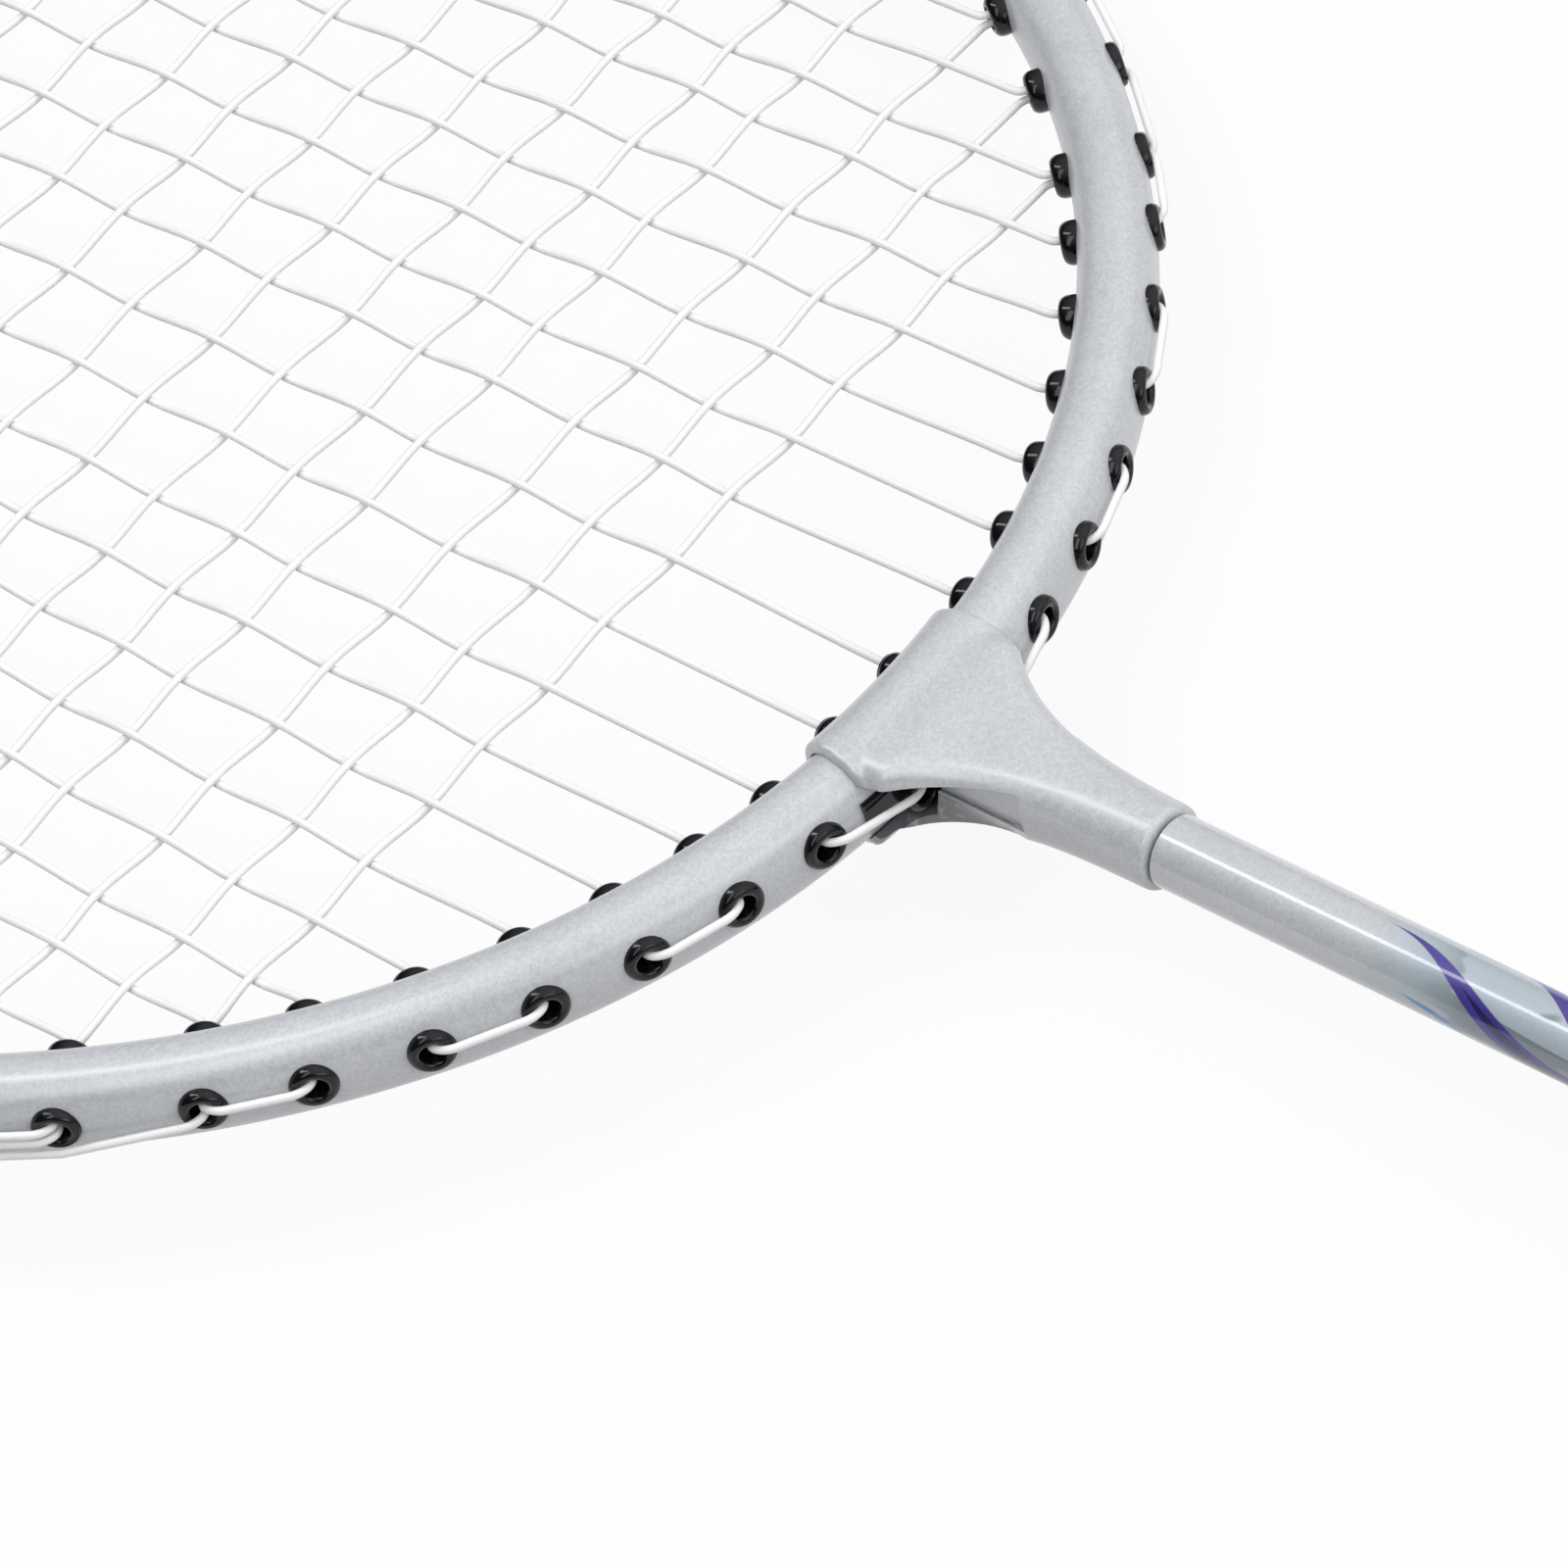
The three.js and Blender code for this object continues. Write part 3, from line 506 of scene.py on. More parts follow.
def buildFlakes(tree, given, place):
    fine = calc(tree, "MULTIPLY", given["Flakes per mm"], 1 / mm)
    cells = addNode(tree, "ShaderNodeTexVoronoi", {"Vector": place, "Scale": fine})
    cell = addNode(tree, "ShaderNodeSeparateColor", {"Color": cells.outputs["Color"]}).outputs[0]
    cloud = noise(tree, place, flakes["cloudScale"], flakes["cloudDetail"])
    spark, drift = centred(tree, cell, given["Flake Depth"]), centred(tree, cloud, flakes["drift"])
    level = calc(tree, "ADD", calc(tree, "ADD", spark, drift), 1.0)
    return level, centred(tree, cell, flakes["rougher"]), calc(tree, "ADD", cell, cloud)


def buildMoulding(tree, given, place):
    fine = calc(tree, "MULTIPLY", given["Grain per mm"], 1 / mm)
    grain = noise(tree, place, fine, moulding["grainDetail"])
    cloud = noise(tree, place, moulding["cloudScale"], moulding["cloudDetail"])
    mixed = calc(tree, "SUBTRACT", calc(tree, "ADD", grain, cloud), 1.0)
    level = calc(tree, "ADD", calc(tree, "MULTIPLY", mixed, given["Variation"]), 1.0)
    return level, calc(tree, "MULTIPLY", mixed, moulding["rougher"]), grain


flakePaint = surfaceGroup(
    "flakePaint", [("Flakes per mm", "Float", 3.0), ("Flake Depth", "Float", 0.25)], buildFlakes)
mouldedSkin = surfaceGroup(
    "mouldedSkin", [("Grain per mm", "Float", 2.0), ("Variation", "Float", 0.3)], buildMoulding)


def newMaterial(name, **settings):
    material = bpy.data.materials.new(name)
    material.use_nodes = True
    tree = material.node_tree
    shader = tree.nodes["Principled BSDF"]
    for label, value in settings.items():
        shader.inputs[label.replace("_", " ")].default_value = value
    return material, tree, shader


def useGroup(tree, group, inputs):
    node = tree.nodes.new("ShaderNodeGroup")
    node.node_tree = group
    for name, value in inputs.items():
        feed(tree, node.inputs[name], value)
    return node.outputs


def addBump(tree, shader, height, strength, distance):
    bump = addNode(tree, "ShaderNodeBump", {
        "Height": height, "Strength": strength, "Distance": distance * mm})
    tree.links.new(bump.outputs[0], shader.inputs["Normal"])


def dress(tree, shader, color, skin, strength, distance):
    tree.links.new(color, shader.inputs["Base Color"])
    tree.links.new(skin["Roughness"], shader.inputs["Roughness"])
    addBump(tree, shader, skin["Height"], strength, distance)


# Silver paint. The hoop turns black above a pale stripe near its widest.
silverPaint = {
    "silver": (0.575, 0.592, 0.62, 1), "black": (0.012, 0.013, 0.016, 1), "pale": (0.8, 0.81, 0.83, 1),
    "flakes": 4.0, "flakeDepth": 0.17, "roughness": 0.38, "bump": 0.05, "bumpDepth": 0.02,
    "blackFrom": 540.0, "stripe": 1.4, "edge": 0.15,
}
# On the joint, shade is painted under the ridge of the windows: the silver darkens there in clouds to a dark
# grey.
# Each limit is a measure, where it leaves none of the painted shade and where it leaves all.
paintedRecessShade = {
    "color": (0.17, 0.175, 0.185, 1), "cloudScale": 700.0, "cloudDetail": 3.0,
    "cloudFrom": 0.2, "cloudTo": 0.5,
    "limits": [
        ("rise", -0.95, -1.15), ("rise", -4.8, -4.1), ("across", 3.1, 3.4), ("depth", 0.5, 1.5),
        ("depth", 15.2, 13.7),
    ],
}


def paintedRecessShadeMask(tree):
    across, along, up = objectPlace(tree)
    depth = calc(tree, "SUBTRACT", throatY, along)
    measured = {"rise": up, "across": calc(tree, "ABSOLUTE", across), "depth": depth}
    cloud = noise(tree, objectVector(tree), paintedRecessShade["cloudScale"], paintedRecessShade["cloudDetail"])
    mask = softStep(tree, cloud, paintedRecessShade["cloudFrom"], paintedRecessShade["cloudTo"])
    for measure, none, full in paintedRecessShade["limits"]:
        mask = calc(tree, "MULTIPLY", mask, softStep(tree, measured[measure], none, full))
    return mask


def useFlakes(tree, finish):
    return useGroup(tree, flakePaint, {
        "Color": finish["silver"], "Flakes per mm": finish["flakes"], "Flake Depth": finish["flakeDepth"],
        "Roughness": finish["roughness"]})


# The hoop's paint has its black crown; the joint's paint has painted shade in the window recesses
def makeFramePaint(name, crownBlack):
    material, tree, shader = newMaterial(name, Metallic=0.1, Coat_Weight=0.5, Coat_Roughness=0.24)
    paint = useFlakes(tree, silverPaint)
    color = paint["Color"]
    if crownBlack:
        along = objectPlace(tree)[1]
        edge = silverPaint["edge"]
        starts = (silverPaint["blackFrom"], silverPaint["blackFrom"] + silverPaint["stripe"])
        for start, shade in zip(starts, ("pale", "black")):
            share = softStep(tree, along, start - edge, start + edge)
            color = blendColor(tree, share, color, silverPaint[shade])
    else:
        # Painted shade: a dark grey in clouds on the faces under the window ridges
        color = blendColor(tree, paintedRecessShadeMask(tree), color, paintedRecessShade["color"])
    dress(tree, shader, color, paint, silverPaint["bump"], silverPaint["bumpDepth"])
    return material


# Shaft: the same silver under gloss lacquer, with plain ribbons of colour that wind round it further down
shaftPaint = {
    "silver": (0.575, 0.592, 0.62, 1), "haze": (0.4, 0.49, 0.56, 1), "slate": (0.13, 0.17, 0.2, 1),
    "violet": (0.055, 0.035, 0.28, 1), "navy": (0.006, 0.006, 0.09, 1), "cyan": (0.015, 0.2, 0.5, 1),
    "flakes": 4.0, "flakeDepth": 0.14, "roughness": 0.4, "bump": 0.03, "bumpDepth": 0.02,
    "hazeFrom": 381.0, "hazeFade": 9.0, "hazeShare": 0.7, "navyFrom": 232.0, "navyFade": 12.0,
    "patchFrom": 375.0, "patchShare": 0.75, "patchScale": (260.0, 62.0, 260.0), "patchDetail": 1.5,
    "patchDistortion": 0.6, "patchLow": 0.53, "patchHigh": 0.56,
    "girth": 21.7, "softEdge": 0.14, "swingFrom": 6.0,
}
# Each ribbon follows a path down the shaft: from a height and a turn, winding once in each pitch, with one
# swing to the side. It starts to show at its begin height, thin, and grows to its half width.
shaftRibbons = [
    {"color": "violet", "from": 382.0, "turn": 0.07, "pitch": -190.0, "swing": -0.24, "swingOver": 25.0,
     "begin": 381.0, "half": 1.45, "grow": 22.0},
    {"color": "navy", "from": 382.0, "turn": 0.075, "pitch": -190.0, "swing": -0.24, "swingOver": 25.0,
     "begin": 371.0, "half": 0.75, "grow": 10.0},
    {"color": "violet", "from": 371.0, "turn": 0.2, "pitch": -130.0, "swing": -0.2, "swingOver": 22.0,
     "begin": 369.0, "half": 1.1, "grow": 12.0},
    {"color": "cyan", "from": 378.0, "turn": -0.19, "pitch": -140.0, "swing": -0.06, "swingOver": 14.0,
     "begin": 376.0, "half": 0.45, "grow": 6.0},
    {"color": "cyan", "from": 352.0, "turn": 0.3, "pitch": 75.0, "swing": 0.1, "swingOver": 30.0,
     "begin": 352.0, "half": 0.7, "grow": 16.0},
]


def ribbonMask(tree, along, turn, ribbon):
    travelled = calc(tree, "SUBTRACT", ribbon["from"], along)
    middle = calc(tree, "MULTIPLY_ADD", travelled, 1 / ribbon["pitch"], ribbon["turn"] - 0.5)
    swung = softStep(tree, travelled, shaftPaint["swingFrom"], ribbon["swingOver"])
    middle = calc(tree, "ADD", middle, calc(tree, "MULTIPLY", swung, ribbon["swing"]))
    apart = calc(tree, "SUBTRACT", calc(tree, "FRACT", calc(tree, "SUBTRACT", turn, middle)), 0.5)
    away = calc(tree, "MULTIPLY", calc(tree, "ABSOLUTE", apart), shaftPaint["girth"])
    grown = softStep(tree, along, ribbon["begin"], ribbon["begin"] - ribbon["grow"])
    inside = calc(tree, "SUBTRACT", calc(tree, "MULTIPLY", grown, ribbon["half"]), away)
    return softStep(tree, inside, 0.0, shaftPaint["softEdge"])


def makeShaftPaint():
    material, tree, shader = newMaterial("shaftLacquer", Metallic=0.1, Coat_Weight=1.0, Coat_Roughness=0.025)
    paint = useFlakes(tree, shaftPaint)
    across, along, up = objectPlace(tree)
    turn = calc(tree, "DIVIDE", calc(tree, "ARCTAN2", across, up), 2 * math.pi)

    # Share of a colour that fades in from one height to a lower one
    def below(start, fade, share):
        return calc(tree, "MULTIPLY", softStep(tree, along, start, start - fade), share)

    haze = below(shaftPaint["hazeFrom"], shaftPaint["hazeFade"], shaftPaint["hazeShare"])
    color = blendColor(tree, haze, paint["Color"], shaftPaint["haze"])
    # Slate patches with long ragged ends
    drawn = drawnOut(tree, shaftPaint["patchScale"])
    cloud = noise(tree, drawn, 1.0, shaftPaint["patchDetail"], shaftPaint["patchDistortion"])
    patch = softStep(tree, cloud, shaftPaint["patchLow"], shaftPaint["patchHigh"])
    patch = calc(tree, "MULTIPLY", patch, below(
        shaftPaint["patchFrom"], shaftPaint["hazeFade"], shaftPaint["patchShare"]))
    color = blendColor(tree, patch, color, shaftPaint["slate"])
    for ribbon in shaftRibbons:
        color = blendColor(tree, ribbonMask(tree, along, turn, ribbon), color, shaftPaint[ribbon["color"]])
    start, fade = shaftPaint["navyFrom"] + shaftPaint["navyFade"], shaftPaint["navyFade"]
    color = blendColor(tree, below(start, fade, 1.0), color, shaftPaint["navy"])
    dress(tree, shader, color, paint, shaftPaint["bump"], shaftPaint["bumpDepth"])
    return material


def makeMoulded(name, color, grain, variation, roughness, bumpDepth, **settings):
    material, tree, shader = newMaterial(name, **settings)
    skin = useGroup(tree, mouldedSkin, {
        "Color": color, "Grain per mm": grain, "Variation": variation, "Roughness": roughness})
    dress(tree, shader, skin["Color"], skin, strength=0.3, distance=bumpDepth)
    return material


# Wood core, its grain along the handle
wood = {
    "dark": (0.42, 0.25, 0.12, 1), "light": (0.72, 0.52, 0.32, 1), "roughness": 0.65,
    "scale": (900.0, 25.0, 900.0), "detail": 6.0, "bump": 0.3, "bumpDepth": 0.1,
}


def makeWood():
    material, tree, shader = newMaterial("handleWood", Roughness=wood["roughness"])
    grain = noise(tree, drawnOut(tree, wood["scale"]), 1.0, wood["detail"])
    tree.links.new(blendColor(tree, grain, wood["dark"], wood["light"]), shader.inputs["Base Color"])
    addBump(tree, shader, grain, wood["bump"], wood["bumpDepth"])
    return material


# Grip tape: soft skin with rows of fine holes, laid out on the tape's own map in millimetres. The holes are
# darkened, as painted shade inside them.
gripSkin = {
    "color": (0.022, 0.024, 0.028, 1), "grain": 1.4, "variation": 0.5, "roughness": 0.66, "grainShare": 0.35,
    "holePitch": 3.2, "holeRadius": 0.42, "holeFrom": 0.7, "holeTo": 1.2,
    "paintedHoleShade": (0.002, 0.002, 0.002, 1), "bump": 0.6, "bumpDepth": 0.25,
}


def makeGripSkin():
    material, tree, shader = newMaterial("gripSkin", Sheen_Weight=0.25, Sheen_Roughness=0.5)
    skin = useGroup(tree, mouldedSkin, {
        "Color": gripSkin["color"], "Grain per mm": gripSkin["grain"], "Variation": gripSkin["variation"],
        "Roughness": gripSkin["roughness"]})
    tape = addNode(tree, "ShaderNodeUVMap", uv_map="tape").outputs[0]
    split = addNode(tree, "ShaderNodeSeparateXYZ", {"Vector": tape})
    squares = []
    for axis in "XY":
        share = calc(tree, "FRACT", calc(tree, "DIVIDE", split.outputs[axis], gripSkin["holePitch"]))
        squares.append(calc(tree, "POWER", centred(tree, share, gripSkin["holePitch"]), 2.0))
    away = calc(tree, "SQRT", calc(tree, "ADD", *squares))
    radius = gripSkin["holeRadius"]
    solid = softStep(tree, away, radius * gripSkin["holeFrom"], radius * gripSkin["holeTo"])
    # Painted shade: the holes are darkened towards a near black
    color = blendColor(tree, solid, gripSkin["paintedHoleShade"], skin["Color"])
    tree.links.new(color, shader.inputs["Base Color"])
    tree.links.new(skin["Roughness"], shader.inputs["Roughness"])
    height = calc(tree, "ADD", calc(tree, "MULTIPLY", skin["Height"], gripSkin["grainShare"]), solid)
    addBump(tree, shader, height, gripSkin["bump"], gripSkin["bumpDepth"])
    return material


hoopPaint = makeFramePaint("hoopPaint", True)
jointPaint = makeFramePaint("jointPaint", False)
shaftLacquer = makeShaftPaint()
blackNylon = makeMoulded("blackNylon", (0.004, 0.0045, 0.006, 1), grain=3.0, variation=0.5, roughness=0.1,
                         bumpDepth=0.006, Specular_IOR_Level=0.35)
whiteString = makeMoulded("whiteString", (0.95, 0.95, 0.945, 1), grain=5.0, variation=0.08, roughness=0.4,
                          bumpDepth=0.008, Sheen_Weight=0.35, Sheen_Roughness=0.6)
darkPlastic = makeMoulded("darkPlastic", (0.018, 0.019, 0.023, 1), grain=4.0, variation=0.4, roughness=0.36,
                          bumpDepth=0.03)
plugPlastic = makeMoulded("plugPlastic", (0.03, 0.03, 0.032, 1), grain=2.0, variation=0.4, roughness=0.55,
                          bumpDepth=0.05)
tapeVinyl = makeMoulded("tapeVinyl", (0.035, 0.037, 0.045, 1), grain=1.2, variation=0.3, roughness=0.3,
                        bumpDepth=0.04, Coat_Weight=0.4)
handleWood = makeWood()
gripMaterial = makeGripSkin()
print("materials made")


# Hoop: hollow tube with its drilled holes
def makeHoop():
    endTurn = head["endGap"] / 2 / halfAcross
    start, end = -quarterTurn + endTurn, 3 * quarterTurn - endTurn
    halfHeight, wall, square = head["tubeHeight"] / 2, head["tubeWall"], head["squareness"]
    hoop = sweepOval("frameHoop", hoopPath(start, end, head["steps"]), tubeHalf, halfHeight, square,
                     head["sides"], hoopPaint)
    longer = hoopPath(start - endTurn / 2, end + endTurn / 2, head["steps"])
    bore = sweepOval("bore", longer, tubeHalf - wall, halfHeight - wall, square, head["boreSides"],
                     hoopPaint)
    angles = bothSides([hole["angle"] for hole in holes])
    reach = tubeHalf + head["drillRun"]
    upper = drills(angles[2:], holeRadius, -reach, reach)
    lowest = drills(angles[:2], holeRadius, -reach, reach, holeRise(0))
    cutKeepingShade(hoop, [bore, upper, lowest])
    finishPiece(hoop, "frame_paint", "head_frame")


# Throat joint: sleeve and neck melted together, then cut for the hoop, the windows and the first mains
joint = {
    "wall": 0.8, "halfWidth": 9.3, "neckLength": 29.7, "rootDepth": 5.0, "rootHalfWidth": 9.9,
    "rootHalfHeight": 5.6, "rootHalfDrop": 5.1, "endRadius": 4.1, "widthPower": 3.8, "heightPower": 1.8,
    "rootSquareness": 7.0, "squarenessPower": 2.0, "undersideSquareness": 2.2,
    "tenonRadius": 2.3, "tenonLength": 22.0, "tenonSides": 32, "channelGap": 0.14, "channelRun": 2.0,
    "drillDepth": 8.0, "wingSteps": 48, "channelSteps": 60, "stations": 40, "sides": 64,
    "voxel": 0.28, "smoothing": 0.5, "smoothRounds": 22, "sharpFrom": 38,
}
# Windows: a pocket for the collar beside the hoop, then a shallow recess in the side of the neck. The recess
# ends below in a straight ridge. From there the side runs to an outline, of distance across and depth below
# the hoop, and then straight down.
window = {
    "web": 3.35, "rise": 3.6, "collarDrop": 3.2, "collarEnd": 6.05, "edge": 17.0, "recess": 4.05,
    "ridgeAcross": 4.45, "ridgeRise": -0.95, "ridgeEdge": 0.15,
    "outlineRise": -3.6, "lowest": -8.0,
    "outline": [
        (3.9, 16.4), (3.5, 15.0), (3.3, 13.8), (3.35, 11.5), (3.8, 9.4), (4.6, 7.5), (5.4, 6.15), (6.2, 5.2),
        (7.4, 4.6), (9.0, 4.35), (11.5, 4.25),
    ],
}
neckEndY = throatY - joint["neckLength"]


# A superellipse ring, where wanted with another depth and squareness below
def ovalRing(halfWidth, halfHeight, squareness, sides, y, halfDrop=None, underside=None):
    ring = []
    for turn in turnsOf(sides):
        across, up = math.cos(turn), math.sin(turn)
        below = up < 0 and halfDrop is not None
        power = 2 / (underside if below else squareness)
        x = math.copysign(abs(across) ** power, across) * halfWidth
        z = math.copysign(abs(up) ** power, up) * (halfDrop if below else halfHeight)
        ring.append(Vector((x, y, z)))
    return ring


# The neck's section that share of the way from its root to its end
def neckRing(share, y):
    end, left = joint["endRadius"], 1 - share
    halfWidth = end + (joint["rootHalfWidth"] - end) * left ** joint["widthPower"]
    halfHeight = end + (joint["rootHalfHeight"] - end) * left ** joint["heightPower"]
    halfDrop = end + (joint["rootHalfDrop"] - end) * left ** joint["heightPower"]
    squareness = 2 + (joint["rootSquareness"] - 2) * left ** joint["squarenessPower"]
    underside = 2 + (joint["undersideSquareness"] - 2) * left
    return ovalRing(halfWidth, halfHeight, squareness, joint["sides"], y, halfDrop, underside)


# A cutter with a section at each depth below the hoop, its points given by distance across and rise
def sideCut(name, side, depths, sectionAt):
    rings = [[Vector((side * x, throatY - depth, z)) for x, z in sectionAt(depth)] for depth in depths]
    return loft(name, rings)


def sideCuts(side):
    edge, rise, lowest, drop = window["edge"], window["rise"], window["lowest"], -window["collarDrop"]
    across = {depth: x for x, depth in roundCorners(window["outline"], closed=False, rounds=2)}
    inner, ridge = window["recess"], (window["ridgeAcross"], window["ridgeRise"])

    def recess(depth):
        outer = across[depth]
        return [(inner, rise), (inner, window["ridgeRise"] - window["ridgeEdge"]), ridge,
                (outer, window["outlineRise"]), (outer, lowest), (edge, lowest), (edge, rise)]

    def pocket(_):
        return [(window["web"], drop), (window["web"], rise), (edge, rise), (edge, drop)]

    pocketDepths = (0, window["collarEnd"])
    return [sideCut("recess", side, across, recess), sideCut("pocket", side, pocketDepths, pocket)]


def meltBody(body):
    melt = body.modifiers.new("melt", "REMESH")
    melt.mode = "VOXEL"
    melt.voxel_size = joint["voxel"] * mm
    melt.use_smooth_shade = True
    even = body.modifiers.new("even", "SMOOTH")
    even.factor = joint["smoothing"]
    even.iterations = joint["smoothRounds"]
    settle(body)
    giveMaterial(body, jointPaint)


def makeJoint():
    wingEnd = -angleAcross(joint["halfWidth"])
    wingStart = -math.pi - wingEnd
    grow, gap, extra = racket["gap"] + joint["wall"], joint["channelGap"], joint["channelRun"] / halfAcross
    halfHeight, square, rootDepth = head["tubeHeight"] / 2, head["squareness"], joint["rootDepth"]
    body = sweepOval("throatJoint", hoopPath(wingStart, wingEnd, joint["wingSteps"]), tubeHalf + grow,
                     halfHeight + grow, square, joint["sides"], jointPaint)
    stations = [neckRing(0, throatY)]
    for share in sharesOf(joint["stations"]):
        y = throatY - rootDepth - (joint["neckLength"] - rootDepth) * share
        stations.append(neckRing(share, y))
    combine(body, loft("neck", stations), "UNION")
    meltBody(body)
    longer = hoopPath(wingStart - extra, wingEnd + extra, joint["channelSteps"])
    channel = sweepOval("channel", longer, tubeHalf + gap, halfHeight + gap, square, head["sides"])
    cuts = [channel, *sideCuts(1), *sideCuts(-1)]
    first = holes[holeWith("mainBottom", 0)]["angle"]
    cuts.append(drills(bothSides([first]), holeRadius, -joint["drillDepth"], 0.0, holeRise(0)))
    for cutter in cuts:
        combine(body, cutter, "DIFFERENCE")
    radius, ends = joint["tenonRadius"], (neckEndY + rootDepth, neckEndY - joint["tenonLength"])
    tenon = loft("tenon", [ovalRing(radius, radius, 2, joint["tenonSides"], y) for y in ends])
    combine(body, tenon, "UNION")
    smoothByAngle(body, joint["sharpFrom"])
    finishPiece(body, "frame_paint", "throat_joint")


makeHoop()
makeJoint()


# Grommets
def grommetProfile(top, atThroat=False):
    bore, barrel, collar, seat = grommet["bore"], grommet["barrel"], grommet["collar"], grommet["seat"]
    lip = grommet["throatLip"] if atThroat else grommet["lip"]
    tip = grommet["lipTip"] + (grommet["throatReach"] if atThroat else 0)
    return [
        (bore, -tip + 0.35), (bore + 0.1, -tip + 0.1), (bore + 0.32, -tip), (lip - 0.35, -tip + 0.16),
        (lip - 0.1, -tip + 0.5), (lip, -tip + 0.95), (lip, -seat), (barrel, -seat),
        (barrel, seat), (collar - 0.05, seat), (collar, seat + 0.3), (collar - 0.06, top - 0.42),
        (collar - 0.25, top - 0.14), (collar - 0.55, top), (bore + 0.42, top - 0.02),
        (bore + 0.14, top - 0.16), (bore, top - 0.45),
    ]


strip = {
    "width": 4.0, "seat": 3.4, "top": 4.25, "endLength": 3.2, "crownMains": 4, "squareness": 7, "sides": 32,
    "overlap": 0.15, "drillFrom": -1.0, "drillTo": 8.0, "sharpFrom": 40,
    "shoulderSteps": 80, "crownSteps": 160, "throatSteps": 16,
    "throatInner": 1.9, "throatOuter": 5.6, "throatWidth": 3.0, "throatRise": 0.3,
}


def barrelTemplate(name, top, atThroat=False):
    return lathe(name, roundCorners(grommetProfile(top, atThroat)), grommet["sides"])


# A grommet strip: a band on the hoop's outside with barrels through it, each with a low rim
def makeBand(name, node, angles, ends, steps, atThroat=False):
    place = 0 if atThroat else 1
    seat, top, rise = strip["seat"], strip["top"], holeRise(place)
    width, bandRise = (strip["throatWidth"], strip["throatRise"]) if atThroat else (strip["width"], rise)
    path = hoopPath(*ends, steps, (seat + top) / 2, bandRise)
    band = sweepOval(name, path, (top - seat) / 2, width / 2, strip["squareness"], strip["sides"],
                     blackNylon)
    radius = grommet["barrel"] - strip["overlap"]
    combine(band, drills(angles, radius, strip["drillFrom"], strip["drillTo"], rise), "DIFFERENCE")
    template = barrelTemplate("barrel", collarTop(place), atThroat)
    barrels = standOnHoop(name + "Barrels", template, angles, blackNylon, rise)
    with bpy.context.temp_override(active_object=band, selected_editable_objects=[band, barrels]):
        bpy.ops.object.join()
    smoothByAngle(band, strip["sharpFrom"])
    finishPiece(band, "grommet_nylon", node)


# The same band on the right and on the left, from angles of the right side
def makeBandPair(name, node, angles, low, high, steps, atThroat=False):
    for side, word in ((1, "right"), (-1, "left")):
        ends = sorted((sideAngle(low, side), sideAngle(high, side)))
        sideAngles = [sideAngle(angle, side) for angle in angles]
        makeBand(name + word.title(), f"{node}_{word}", sideAngles, ends, steps, atThroat)


def makeGrommets():
    firstShoulder = holeWith("mainTop", len(stringing["mainShares"]) - 1)
    crownStart = holeWith("mainTop", strip["crownMains"] - 1)
    angles = [hole["angle"] for hole in holes]
    single, shoulder, crown = angles[1:firstShoulder], angles[firstShoulder:crownStart], angles[crownStart:]
    nodes = [
        f"grommet_{side}_{index:02d}" for index in range(1, firstShoulder) for side in ("right", "left")]
    template = barrelTemplate("grommet", grommet["collarTop"])
    piece = standOnHoop("frameGrommets", template, bothSides(single), blackNylon)
    finishPiece(piece, "grommet_nylon", *nodes)

    endTurn = strip["endLength"] * math.sqrt(2) / math.hypot(halfAcross, halfAlong)
    makeBandPair("shoulderStrip", "shoulder_grommet_strip", shoulder, shoulder[0] - endTurn,
                 shoulder[-1] + endTurn, strip["shoulderSteps"])
    start = crown[0] - endTurn
    makeBand("crownStrip", "crown_grommet_strip", bothSides(crown), (start, sideAngle(start, -1)),
             strip["crownSteps"])
    first = angles[0]
    makeBandPair("throatStrip", "throat_grommet_strip", [first], first - strip["throatInner"] / halfAcross,
                 first + strip["throatOuter"] / halfAcross, strip["throatSteps"], atThroat=True)


makeGrommets()


# Strings
def holePoint(place, side, outward, rise):
    return hoopPoint(sideAngle(holes[place]["angle"], side), outward, holeRise(place) + rise)


def insideTurn(place, side, rise):
    return holePoint(place, side, -lipClear, rise)


# From one hole's bore to another's over the collars, beside the collars of holes between them
def outsideRun(fromHole, toHole, side, rise, endRise=None):
    endRise = rise if endRise is None else endRise
    step = 1 if toHole > fromHole else -1
    aside = math.copysign(stringing["passRise"], rise)

    def overCollar(place, height):
        return holePoint(place, side, collarTop(place) + stringing["runLift"], height)

    over = [overCollar(fromHole, rise)]
    over += [overCollar(place, aside) for place in range(fromHole + step, toHole, step)]
    over.append(overCollar(toHole, endRise))
    leaving = (over[1] - over[0]).normalized() * stringing["turnLength"]
    arriving = (over[-2] - over[-1]).normalized() * stringing["turnLength"]
    over[0] = over[0] + leaving
    over[-1] = over[-1] + arriving
    first = holePoint(fromHole, side, collarTop(fromHole) - stringRadius, rise)
    last = holePoint(toHole, side, collarTop(toHole) - stringRadius, endRise)
    return [first, *over, last]


# The loose end comes back in through another hole and is knotted against its lip
def knotTail(fromHole, toHole, side, rise, endRise=None):
    endRise = rise if endRise is None else endRise
    inside = -grommet["lipTip"] - racket["gap"]
    centre = endRise + math.copysign(stringing["knotRise"], endRise)
    along = hoopOut(sideAngle(holes[toHole]["angle"], side)).cross(Vector((0, 0, 1)))
    down = Vector((0, 0, -math.copysign(1, endRise)))
    points = [*outsideRun(fromHole, toHole, side, rise, endRise), holePoint(toHole, side, inside, endRise)]
    for step in range(1, stringing["knotTurns"] * stringing["knotSteps"] + 1):
        turns = step / stringing["knotSteps"]
        depth = inside - stringing["knotStart"] - stringing["knotPitch"] * turns
        spoke = along * math.sin(2 * math.pi * turns) + down * math.cos(2 * math.pi * turns)
        points.append(holePoint(toHole, side, depth, centre) + spoke * stringing["knotRadius"])
    points.append(points[-1] + (points[-1] - points[-2]).normalized() * stringing["tailLength"])
    return points


